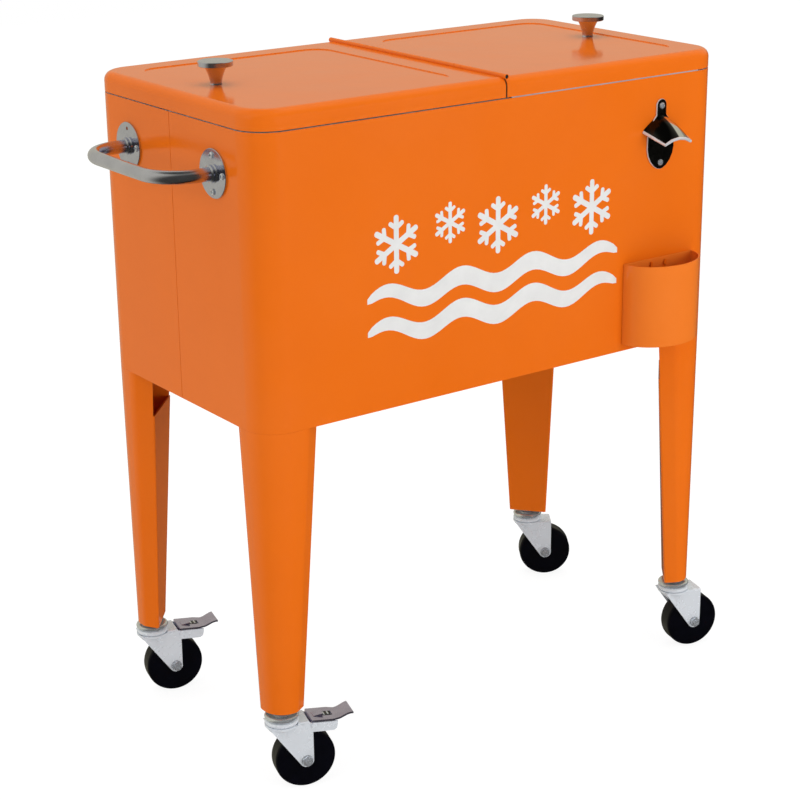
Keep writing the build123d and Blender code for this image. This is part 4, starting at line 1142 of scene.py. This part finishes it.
# %% Opener hood
last_column = len(RIM_LINE) - 1
hood = new_grid("opener_hood", last_column, HOOD_ROWS)
for vertex in hood.data.vertices:
    column = round((vertex.co.x + 0.5) * last_column)
    share = vertex.co.y + 0.5
    root, rim = ROOT_LINE[column], RIM_LINE[column]
    bulge = HOOD_BULGE * sin(pi * share) if 1 < column < last_column - 1 else 0
    x = root[0] + (rim[0] - root[0]) * share
    z = root[1] + (rim[2] - root[1]) * share + bulge
    vertex.co = on_opener(x, rim[1] * MM * share + bulge * MM / 2, z)
inward = hood.data.polygons[40].normal.z < 0
modify(hood, "SOLIDIFY", thickness=HOOD_SHEET, offset=1 if inward else -1)
tidy_mesh(hood)
soften(hood, 0.9 * MM, 3, 50)
# Painted reflection: the hood's colour runs in dark and bright bands across it.
dress(hood, hood_painted_reflection, "cabinet", "chrome", angle=50)
print("opener hood", len(hood.data.polygons), "faces")

# %% Opener rim and screws
rim = new_line("opener_rim", [on_opener(x, out * MM, z - RIM_DROP) for x, out, z in RIM_LINE])
bpy.ops.object.convert(target="CURVE")
rim.data.bevel_depth = RIM_RADIUS
rim.data.bevel_resolution = 4
rim.data.use_fill_caps = True
bpy.ops.object.convert(target="MESH")
tidy_mesh(rim)
# The rim bead takes the pale finish, a painted highlight.
dress(rim, bright_rim, "cabinet", "chrome", angle=50)
screw_low, screw_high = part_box("opener_screws")
screw_heights = (screw_low.z + HEAD_RADIUS, screw_high.z - HEAD_RADIUS)
heads = [screw_at(on_opener(0, OPENER_PLATE, z / MM), (0, -1, 0), 0.7) for z in screw_heights]
dress(joined("opener_screw_heads", heads), bright_screw, "cabinet", "screw_steel", "opener_screws")
drop(screw_head)
print("opener", [round(v / MM, 1) for v in opener_high - opener_low], "mm")

# %% [markdown]
# ## Cap catcher
# The catcher is a half-round cup of the same sheet as the cabinet. Its plan is half an ellipse, raised
# into a block, opened at the top and thickened inward, with two slots for the hooks.

# %% Cap catcher
cup_low, cup_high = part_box("cap_catcher")
CUP_X = (cup_low.x + cup_high.x) / 2
CUP_HALF = (cup_high.x - cup_low.x) / 2
CUP_DEEP = cup_high.y - cup_low.y
CUP_WALL = 1.5 * MM
CUP_STEPS = 40
HOOK_HALF = 1.5 * MM
SLOT_HALF = 2.5 * MM
SLOT_HEIGHT = 8.5 * MM
SLOT_DROP = 8.0 * MM
# Width, depth and end margin of a thin pale strip down the cup's right end.
PALE_STRIP_SIZE = (0.7 * MM, 0.9 * MM, 6 * MM)

plan = []
for step in range(CUP_STEPS + 1):
    angle = pi + pi * step / CUP_STEPS
    plan.append((CUP_X + CUP_HALF * cos(angle), cup_high.y + CUP_DEEP * sin(angle), cup_low.z))
cup = raised(new_outline("cap_cup", plan), (0, 0, cup_high.z - cup_low.z))
tidy_mesh(cup)
remove(cup, "FACE", lambda face: face.normal.z > 0.9)
modify(cup, "SOLIDIFY", thickness=CUP_WALL, offset=-1)
hook_low, hook_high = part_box("catcher_hooks")
slot_top = cup_high.z - SLOT_DROP
for x in (hook_low.x + HOOK_HALF, hook_high.x - HOOK_HALF):
    low = (x - SLOT_HALF, cup_high.y - 3 * CUP_WALL, slot_top - SLOT_HEIGHT)
    carve(cup, new_block("slot", low, (x + SLOT_HALF, cup_high.y + 3 * CUP_WALL, slot_top)))
soften(cup, 0.5 * MM, 2, 50)
# Painted light: the cup takes a lighter, more yellow copy of the cabinet's orange.
dress(cup, cup_painted_light_orange, "cap_catcher", "orange_paint", "cap_catcher", angle=40)
# A thin pale strip runs down the cup's right end, where the cup meets the panel.
width, depth, margin = PALE_STRIP_SIZE
edge_low = (cup_high.x - width, cup_high.y - depth, cup_low.z + margin)
pale_strip = new_block("cup_pale_strip", edge_low, (cup_high.x + 0.02 * MM, cup_high.y, cup_high.z - margin))
dress(pale_strip, pale_strip_finish, "cap_catcher", "orange_paint")
print("cup", [round(v / MM, 1) for v in cup_high - cup_low], "mm")

# %% [markdown]
# ## Legs
# Each leg is one folded sheet: a rounded outer corner, two faces whose far parts lean inward, a narrow
# lip and a web that closes the back. The section shrinks from top to foot, so one ring of points is
# drawn at the top, extruded down and moved onto the smaller ring, which keeps every fold line straight.

# %% Leg section
LEG_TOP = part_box("leg_front_left")[1].z
LEG_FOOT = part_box("leg_front_left")[0].z
TOP_PLAN = [(0, 0), (0, 56), (19, 80), (82.5, 14), (60, 0)]
FOOT_PLAN = [(6.5, 4.5), (6.5, 40), (18, 58), (53.5, 14.5), (37, 4.5)]
TOP_ROUNDS = (40, 22, 2.5, 2.5, 22)
FOOT_ROUNDS = (26, 14, 2.5, 2.5, 14)
ROUND_STEPS = (16, 8, 4, 4, 8)
LEG_SHEET = 2.0 * MM
NOTCH_DEPTH = 58 * MM


def plan_middle(name):
    """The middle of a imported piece, seen from above."""
    low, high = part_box(name)
    return (low.x + high.x) / 2, (low.y + high.y) / 2


def rounded_corner(before, corner, after, radius, steps):
    """Points on the arc that rounds one corner of a section."""
    corner, before, after = Vector(corner), Vector(before), Vector(after)
    one, two = (before - corner).normalized(), (after - corner).normalized()
    half = one.angle(two) / 2
    middle = corner + (one + two).normalized() * radius / sin(half)
    start = corner + one * radius * cos(half) / sin(half)
    end = corner + two * radius * cos(half) / sin(half)
    begin = atan2(start.y - middle.y, start.x - middle.x)
    sweep = atan2(end.y - middle.y, end.x - middle.x) - begin
    sweep = (sweep + pi) % (2 * pi) - pi
    points = []
    for step in range(steps + 1):
        angle = begin + sweep * step / steps
        points.append(Vector((middle.x + radius * cos(angle), middle.y + radius * sin(angle))))
    return points


def leg_section(plan, rounds):
    """A leg's section with its corners rounded, measured in from the cabinet corner."""
    points = []
    for index, corner in enumerate(plan):
        before, after = plan[index - 1], plan[(index + 1) % len(plan)]
        points += rounded_corner(before, corner, after, rounds[index], ROUND_STEPS[index])
    return points


print("leg section", len(leg_section(TOP_PLAN, TOP_ROUNDS)), "points")

# %% Leg sheet
def leg_ring(plan, rounds, height, inset):
    """The section of the front left leg in its place, drawn in a little toward its middle."""
    section = leg_section(plan, rounds)
    centre = sum(section, Vector((0, 0))) / len(section)
    ring = []
    for point in section:
        inward = (centre - point).normalized() * inset
        ring.append((-HALF_LENGTH + point.x * MM + inward.x, FRONT_FACE + point.y * MM + inward.y, height))
    return ring


def leg_tube(name, inset=0.0):
    """The tapering tube of the front left leg."""
    top = leg_ring(TOP_PLAN, TOP_ROUNDS, LEG_TOP, inset)
    foot = leg_ring(FOOT_PLAN, FOOT_ROUNDS, LEG_FOOT, inset)
    tube = raised(new_ring(name, top), (0, 0, LEG_FOOT - LEG_TOP))
    lower = [v for v in tube.data.vertices if v.co.z < (LEG_TOP + LEG_FOOT) / 2]
    for vertex, point in zip(lower, foot):
        vertex.co = point
    return tube


leg = leg_tube("leg")
tidy_mesh(leg)
notch_line = LEG_TOP - NOTCH_DEPTH
pick_all(leg)
bpy.ops.mesh.bisect(plane_co=(0, 0, notch_line), plane_no=(0, 0, 1), use_fill=False)
object_mode()
web_way = (Vector(TOP_PLAN[3]) - Vector(TOP_PLAN[2])).normalized()
web_out = Vector((-web_way.y, web_way.x, 0))


def open_web(face):
    """True for the faces of the back web above the notch line."""
    return face.calc_center_median().z > notch_line and face.normal.dot(web_out) > 0.4


removed = remove(leg, "FACE", open_web)
modify(leg, "SOLIDIFY", thickness=LEG_SHEET, offset=-1)
soften(leg, 0.45 * MM, 2, 50)
print("leg web faces opened", removed)

# %% Leg tab and foot plate
def filled_leg(name, inset):
    """The leg's tube as a solid, for the flat pieces that fit inside it."""
    solid = leg_tube(name, inset)
    for height in (LEG_TOP, LEG_FOOT):
        pick(solid, "EDGE", lambda edge: level_at(edge, height))
        bpy.ops.mesh.edge_face_add()
        object_mode()
    tidy_mesh(solid)
    return solid


STEM_HOLE = 5.3 * MM
tab = filled_leg("leg_tab", 1.0 * MM)
cut_away(tab, (0, 0, LEG_TOP - LEG_SHEET), (0, 0, -1), fill=True)
moved(tab, (0, 0, -0.05 * MM))
foot_low, foot_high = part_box("foot_plates")
foot_plate = filled_leg("foot_plate", LEG_SHEET + 0.6 * MM)
cut_away(foot_plate, (0, 0, foot_high.z), (0, 0, 1), fill=True)
x, y = plan_middle("caster_front_left_stem")
carve(foot_plate, new_rod("stem_pin", (x, y, foot_low.z - MM), (x, y, foot_high.z + MM), STEM_HOLE, 32))
moved(foot_plate, (0, 0, 0.3 * MM))
print("foot plate", len(foot_plate.data.polygons), "faces")

# %% Four legs
CORNER_NAMES = ("front_left", "rear_left", "rear_right", "front_right")
foot_plates = []
for name in CORNER_NAMES:
    flip_x = -1 if "right" in name else 1
    flip_y = -1 if "rear" in name else 1
    mirror = Matrix.Translation((0, MIDDLE_Y, 0)) @ Matrix.Diagonal((flip_x, flip_y, 1, 1))
    mirror = mirror @ Matrix.Translation((0, -MIDDLE_Y, 0))
    parts = [copy_of(master, "leg_part") for master in (leg, tab, foot_plate)]
    for part in parts:
        part.data.transform(mirror)
        if flip_x * flip_y < 0:
            part.data.flip_normals()
    foot_plates.append(parts.pop())
    dress(joined(f"{name}_leg", parts), orange, "cabinet", "orange_paint", f"leg_{name}", angle=25)
dress(joined("foot_plate_set", foot_plates), dull_sheet, "cabinet", "galvanised_sheet", "foot_plates")
drop(leg, tab, foot_plate)
print("legs", LEG_TOP - LEG_FOOT)

# %% [markdown]
# ## Casters
# A caster is a stamped fork under a double ball race. The fork starts as a flat outline like the sheet
# it is cut from, the side plates are joined to a top leaf and a flared skirt, and the folds are rounded
# last. It is built once, with the swivel on the Z axis and the wheel trailing along X, and then copied.

# %% Caster sizes
WHEEL_RADIUS = 38.0 * MM
TRAIL = 26.0 * MM
FORK_HALF = 16.5 * MM
FORK_PLATE = 2.5 * MM
FORK_TOP = 87.0 * MM
RACE_RADIUS = 21.0 * MM
SKIRT_DROP = 15.0 * MM
BACK = TRAIL + 8.7 * MM
ARM_RISE = 3.3 * MM
PIVOT = Vector((TRAIL + 10 * MM, 0, FORK_TOP - 3 * MM))
PEDAL_ANGLE = radians(5)
BRAKED = ("front_left", "rear_left")
casters = {}
for name in CORNER_NAMES:
    swivel = Vector((*plan_middle(f"caster_{name}_stem"), 0))
    way = Vector((*plan_middle(f"caster_{name}_wheel"), 0)) - swivel
    casters[name] = (swivel, atan2(way.y, way.x))
    print(name, [round(v / MM, 1) for v in swivel], round(degrees(casters[name][1]), 1), "degrees")


def to_caster(piece, name):
    """Turns and moves a caster piece from the shared drawing to its own leg."""
    swivel, heading = casters[name]
    piece.data.transform(Matrix.Translation(swivel) @ Matrix.Rotation(heading, 4, "Z"))
    return piece

# %% Wheel
tread = in_mm((-12, 4.6), (-12, 28), (-11.8, 30), (-11.8, 31))
tread += in_mm(*arc((-8.0, 34.0), 4.0, 180, 90, 6))
crown = in_mm((-4, 38.0), (4, 38.0))
other = [(-along, radius) for along, radius in reversed(tread)]
hub = in_mm((-13.2, 4.1), (-13.2, 9), (-12.2, 10), (12.2, 10), (13.2, 9), (13.2, 4.1))
axle_place = (TRAIL, 0, WHEEL_RADIUS)
tyre = lathe("tyre", tread + crown + other, axle_place, (0, 1, 0), 72, closed=True)
wheel_master = joined("wheel", [tyre, lathe("hub", hub, axle_place, (0, 1, 0), 40, closed=True)])
for name in casters:
    wheel = to_caster(copy_of(wheel_master, f"{name}_wheel"), name)
    dress(wheel, wheel_rubber, f"wheel_{name}", "wheel_rubber", f"caster_{name}_wheel", angle=30)
drop(wheel_master)
print("wheel", round(WHEEL_RADIUS / MM, 1), "mm")

# %% Fork sides
def fork_outline():
    """The side of a fork: round under the axle, straight at the back and slanting in front."""
    points = [(BACK, FORK_TOP), (TRAIL - 45 * MM, FORK_TOP), (TRAIL - 37 * MM, WHEEL_RADIUS + 37 * MM)]
    return points + arc((TRAIL, WHEEL_RADIUS), 9 * MM, 215, 345, 13)


def side_plate(outline, side):
    """A flat plate of the fork on one side of the wheel."""
    near = side * (FORK_HALF - FORK_PLATE)
    plate = new_outline("side", [(x, near, z) for x, z in outline])
    raised(plate, (0, side * FORK_PLATE, 0))
    tidy_mesh(plate)
    return plate


def arm_outline():
    """The arm behind the axle that carries a brake pedal, tipped with the pedal."""
    front, drop_z = TRAIL - 4 * MM, FORK_TOP - 12 * MM
    points = [(front, FORK_TOP), (front, drop_z), (TRAIL + 33 * MM, drop_z)]
    points += arc((TRAIL + 34 * MM, FORK_TOP - 6 * MM), 6 * MM, -90, 0, 5)
    points.append((TRAIL + 40 * MM, FORK_TOP))
    lean_x, lean_z = cos(PEDAL_ANGLE), sin(PEDAL_ANGLE)
    turned = []
    for x, z in points:
        dx, dz = x - PIVOT.x, z - PIVOT.z
        turned.append((PIVOT.x + dx * lean_x + dz * lean_z, PIVOT.z - dx * lean_z + dz * lean_x))
    return turned


def make_skirt():
    """The flared skirt between the race and the side plates, cut off front and back."""
    profile = [
        (-SKIRT_DROP, FORK_HALF - 1.4 * MM),
        (-SKIRT_DROP, FORK_HALF + 0.4 * MM),
        (-8 * MM, FORK_HALF + 1.2 * MM),
        (-4 * MM, RACE_RADIUS - 1.4 * MM),
        (-2 * MM, RACE_RADIUS),
        (0, RACE_RADIUS),
        (0, RACE_RADIUS - 2.4 * MM),
        (-3 * MM, RACE_RADIUS - 3.4 * MM),
        (-8 * MM, FORK_HALF - 1 * MM),
    ]
    skirt = lathe("skirt", profile, (0, 0, FORK_TOP), steps=64, closed=True)
    cut_away(skirt, (2 * MM, 0, 0), (1, 0, 0), fill=True)
    cut_away(skirt, (-17 * MM, 0, FORK_TOP - 6 * MM), (-0.8, 0, -1), fill=True)
    return skirt


def make_fork(name, braked):
    """Side plates, top leaf, flared skirt and, where braked, the arms of the pedal."""
    back = PIVOT.x - 6.5 * MM if braked else BACK
    top = FORK_TOP + ARM_RISE if braked else FORK_TOP
    under = FORK_TOP - FORK_PLATE
    fork = new_block(name, (0, -FORK_HALF, under), (back, FORK_HALF, FORK_TOP))
    carve(fork, new_rod("disc", (0, 0, under), (0, 0, FORK_TOP), RACE_RADIUS, 64), "UNION")
    if braked:
        low = (TRAIL - 10 * MM, -FORK_HALF, under)
        carve(fork, new_block("leaf", low, (back + 1.2 * MM, FORK_HALF, top)), "UNION")
    for side in (-1, 1):
        carve(fork, side_plate(fork_outline(), side), "UNION")
        if braked:
            carve(fork, side_plate(arm_outline(), side), "UNION")

    def top_fold(edge):
        outer = all(abs(abs(v.co.y) - FORK_HALF) < 1e-5 for v in edge.verts)
        return outer and level_at(edge, top) and edge_middle(edge).x > 12 * MM

    round_edges(fork, top_fold, 2.2 * MM, 4)
    carve(fork, make_skirt(), "UNION")
    soften(fork, 0.5 * MM, 2, 45)
    return fork


plain_fork = make_fork("plain_fork", False)
braked_fork = make_fork("braked_fork", True)
print("fork faces", len(plain_fork.data.polygons), len(braked_fork.data.polygons))

# %% Races
def race_bead(bottom, top, bore):
    """One rolled bead of the race: flat inside, round outside."""
    half = (top - bottom) / 2
    rolled = [(z, r) for r, z in arc((RACE_RADIUS - half, (top + bottom) / 2), half, -90, 90, 8)]
    return lathe("bead", [(bottom, bore)] + rolled + [(top, bore)], steps=64, closed=True)


# Bottom, top and bore of each rolled bead.
LOW_RACE = (87.0 * MM, 93.2 * MM, 5 * MM)
HIGH_RACE = (93.6 * MM, 99.8 * MM, 3 * MM)
CAP_PROFILE = in_mm((99.0, 3), (99.0, 12), (100.6, 12), (101.8, 9), (105.0, 8.5), (105.0, 3))
BOLT_PROFILE = in_mm((80.7, 0), (80.7, 8), (81.7, 9), (84.2, 9), (84.2, 4), (118, 4), (118, 0))
for name in casters:
    fork = copy_of(braked_fork if name in BRAKED else plain_fork, "fork_part")
    fork = joined(f"{name}_fork", [fork, race_bead(*LOW_RACE)])
    dress(to_caster(fork, name), zinc, f"caster_{name}", "zinc", f"caster_{name}_fork")
    bead = race_bead(*HIGH_RACE)
    cap = lathe("cap", CAP_PROFILE, closed=True)
    stem = joined(f"{name}_stem", [bead, cap, lathe("bolt", BOLT_PROFILE, steps=32)])
    dress(to_caster(stem, name), race_zinc, "cabinet", "zinc", f"caster_{name}_stem")
drop(plain_fork, braked_fork)
print("races", 2 * len(casters))

# %% Axle bolts
NUT_ACROSS = 6.0 * MM
NUT_HEIGHT = 3.9 * MM
WASHER = in_mm((0, 3.9), (0, 6.8), (0.7, 7.1), (1.0, 6.8), (1.0, 3.9))
BOLT_END = in_mm((-20, 0), (-20, 3.9), (7.0, 3.9), (7.5, 3.2), (7.5, 0))


def hex_nut(start, way, across, height):
    """A hexagon with its corners turned off at the top, as nuts are."""
    nothing_selected()
    bpy.ops.mesh.primitive_cylinder_add(vertices=6, radius=across / cos(pi / 6), depth=height)
    nut = moved(settled("nut"), (0, 0, height / 2))
    wide = across * 1.3
    ball = [(-MM, 0), (-MM, wide), (height * 0.72, wide), (height, across * 0.93), (height, 0)]
    carve(nut, lathe("ball", ball), "INTERSECT")
    nut.data.transform(standing(start, way))
    return nut


# Nut and bolt end stand on the front side and the bolt's head behind, each over a washer.
parts = []
for side in (-1, 1):
    seat = (TRAIL, side * FORK_HALF, WHEEL_RADIUS)
    parts.append(lathe("washer", WASHER, seat, (0, side, 0), 40, closed=True))
    start = (TRAIL, side * (FORK_HALF + MM), WHEEL_RADIUS)
    parts.append(hex_nut(start, (0, side, 0), NUT_ACROSS, NUT_HEIGHT))
parts.append(lathe("bolt_end", BOLT_END, (TRAIL, -FORK_HALF, WHEEL_RADIUS), (0, -1, 0), 32))
axle_master = joined("axle", parts)
for name in casters:
    axle = to_caster(copy_of(axle_master, f"{name}_axle"), name)
    dress(axle, bright_screw, f"caster_{name}", "zinc", f"caster_{name}_axle", angle=30)
drop(axle_master)
print("axles", len(casters))

# %% [markdown]
# ## Brake pedals
# The pedal is a stamped plate: a flat part with a slot and a raised ramp, then a tail that turns up for
# the toe. It is drawn flat, bent by moving its last rows of points, and tipped about its pivot.

# %% Brake pedals
PEDAL_HALF = 16.5 * MM
PEDAL_BOTTOM = FORK_TOP + 0.8 * MM
PEDAL_SHEET = 2.5 * MM
PEDAL_TOP = PEDAL_BOTTOM + PEDAL_SHEET
PEDAL_TIP = FORK_TOP + 10 * MM
PEDAL_BEND = 41 * MM
PEDAL_TAIL = 60 * MM
WAIST_START = 34 * MM
RIB_STEP = 5 * MM


def pedal_height(reach):
    """Height of the pedal's underside, flat and then turned up, against the distance from the axle."""
    if reach < PEDAL_BEND:
        return PEDAL_BOTTOM
    share = (reach - PEDAL_BEND) / (PEDAL_TAIL - PEDAL_BEND)
    return PEDAL_BOTTOM + (PEDAL_TIP - PEDAL_SHEET - PEDAL_BOTTOM) * share * share * (3 - 2 * share)


def soft_block(name, low, high, width):
    """A small block measured from the axle, the middle and the fork's top, with softened edges."""
    start = Vector((TRAIL, 0, FORK_TOP))
    block = new_block(name, start + Vector(low) * MM, start + Vector(high) * MM)
    soften(block, width)
    return block


def make_plate():
    """The stamped plate: a narrow waist, a tail that turns up and a slot."""
    plate = new_grid("plate", 24, 8)
    front = PIVOT.x - 3 * MM - TRAIL
    for vertex in plate.data.vertices:
        reach = front + (PEDAL_TAIL - front) * (vertex.co.x + 0.5)
        waist = max(0, sin(pi * (reach - WAIST_START) / (30 * MM))) if reach > WAIST_START else 0
        y = vertex.co.y * 2 * PEDAL_HALF * (1 - 0.2 * waist)
        vertex.co = (TRAIL + reach, y, pedal_height(reach))
    modify(plate, "SOLIDIFY", thickness=PEDAL_SHEET, offset=1)
    tidy_mesh(plate)
    slot_low = (TRAIL + 22 * MM, -5.5 * MM, FORK_TOP - MM)
    carve(plate, new_block("slot", slot_low, (TRAIL + 36 * MM, 5.5 * MM, FORK_TOP + 5 * MM)))
    soften(plate, 0.6 * MM, 2, 50)
    return plate


def make_ramp():
    """The raised ramp that is pressed out of the plate ahead of the slot."""
    low_end, high_end = (TRAIL + 12 * MM, PEDAL_TOP - 0.3 * MM), (TRAIL + 24 * MM, PEDAL_TOP + 2.2 * MM)
    corners = [(low_end, -6), (low_end, 6), (high_end, 6), (high_end, -6)]
    ramp = new_outline("ramp", [(x, y * MM, z) for (x, z), y in corners])
    modify(ramp, "SOLIDIFY", thickness=1.6 * MM, offset=0)
    tidy_mesh(ramp)
    soften(ramp, 0.4 * MM, 2, 50)
    return ramp


shoe_low = (PIVOT.x - 3.5 * MM, -10 * MM, 76.6 * MM)
shoe = new_block("shoe", shoe_low, (PIVOT.x + 3.5 * MM, 10 * MM, PEDAL_BOTTOM + MM))
soften(shoe, 0.6 * MM, 2, 50)
pedal_master = joined("pedal", [make_plate(), make_ramp(), shoe])
tip = Matrix.Translation(PIVOT) @ Matrix.Rotation(PEDAL_ANGLE, 4, "Y") @ Matrix.Translation(-PIVOT)
pedal_master.data.transform(tip)
# Painted shade: a near-black block sits in the pedal's slot, so that the slot looks dark.
slot_shade_master = soft_block("pedal_slot_shade", (23, -5, -3), (35, 5, 1.6), 0.5 * MM)
rib_master = soft_block("pedal_rib", (25.5, -4, 0), (27.5, 4, 2.4), 0.4 * MM)
for name in BRAKED:
    body = f"brake_{name}"
    pedal = to_caster(copy_of(pedal_master, f"{name}_pedal"), name)
    dress(pedal, pedal_zinc, body, "zinc", f"brake_{name}_pedal")
    # The black block in the slot is painted shade.
    block = to_caster(copy_of(slot_shade_master, f"{name}_pedal_slot_shade"), name)
    dress(block, drain_black, body, "zinc")
    ribs = [moved(copy_of(rib_master, "rib"), (along, 0, 0)) for along in (0, RIB_STEP)]
    ribs = joined(f"{name}_pedal_ribs", [to_caster(rib, name) for rib in ribs])
    dress(ribs, bright_screw, body, "zinc")
drop(pedal_master, slot_shade_master, rib_master)
print("pedal sheet", round(PEDAL_SHEET / MM, 1), "mm")

# %% [markdown]
# ## Printed front
# The front carries a bold white print. It is built as a very thin layer, so that its edge catches a
# little light, like screen ink on sheet metal. The motifs are plain ones: ice stars over two waves.

# %% Ice stars
INK = 0.12 * MM
INK_STEP = 0.002 * MM
STARS = [(-162, 662, 35), (-84, 676, 25), (-12, 662, 35), (62, 676, 25), (136, 662, 35)]
ink = []


def ink_bar(x, z, angle, length, width):
    """A short bar of ink that starts at a point and runs off at an angle."""
    front = FRONT_FACE - INK - INK_STEP * (len(ink) % 20)
    bar = new_block("ink", (0, front, -width / 2), (length, FRONT_FACE, width / 2))

    def far_edge(edge):
        return abs(edge_way(edge).y) > 0.99 and edge_middle(edge).x > length / 2

    round_edges(bar, far_edge, width * 0.45, 5)
    bar.data.transform(Matrix.Translation((x, 0, z)) @ Matrix.Rotation(-angle, 4, "Y"))
    ink.append(bar)


def ice_star(x, z, size):
    """Six arms, each with a pair of twigs."""
    for arm in range(6):
        angle = radians(90 + 60 * arm)
        ink_bar(x, z, angle, size, size * 0.2)
        tx, tz = x + size * 0.55 * cos(angle), z + size * 0.55 * sin(angle)
        for lean in (-1, 1):
            ink_bar(tx, tz, angle + lean * radians(55), size * 0.36, size * 0.16)


for x, z, size in STARS:
    ice_star(x * MM, z * MM, size * MM)
print("ink bars", len(ink))

# %% Waves
WAVE_STEPS = 64
WAVE_HEIGHTS = (600, 560)
WAVE_WIDTH = 24
WAVE_LIFT = 9
WAVE_START = -204
WAVE_LENGTH = 384
for height in WAVE_HEIGHTS:
    wave = new_grid("wave", WAVE_STEPS, 1)
    for vertex in wave.data.vertices:
        share = vertex.co.x + 0.5
        lift = WAVE_LIFT * sin(share * 7 * pi)
        swell = 0.25 + 0.75 * sin(pi * share) ** 0.4 if 0 < share < 1 else 0.25
        z = height + lift + vertex.co.y * WAVE_WIDTH * swell
        vertex.co = ((WAVE_START + WAVE_LENGTH * share) * MM, FRONT_FACE, z * MM)
    modify(wave, "SOLIDIFY", thickness=INK, offset=0)
    tidy_mesh(wave)
    ink.append(moved(wave, (0, -INK / 2, 0)))
print_layer = joined("front_print", ink)
dress(print_layer, ink_white, "cabinet", "orange_paint", angle=30)
print("print", len(print_layer.data.polygons), "faces")
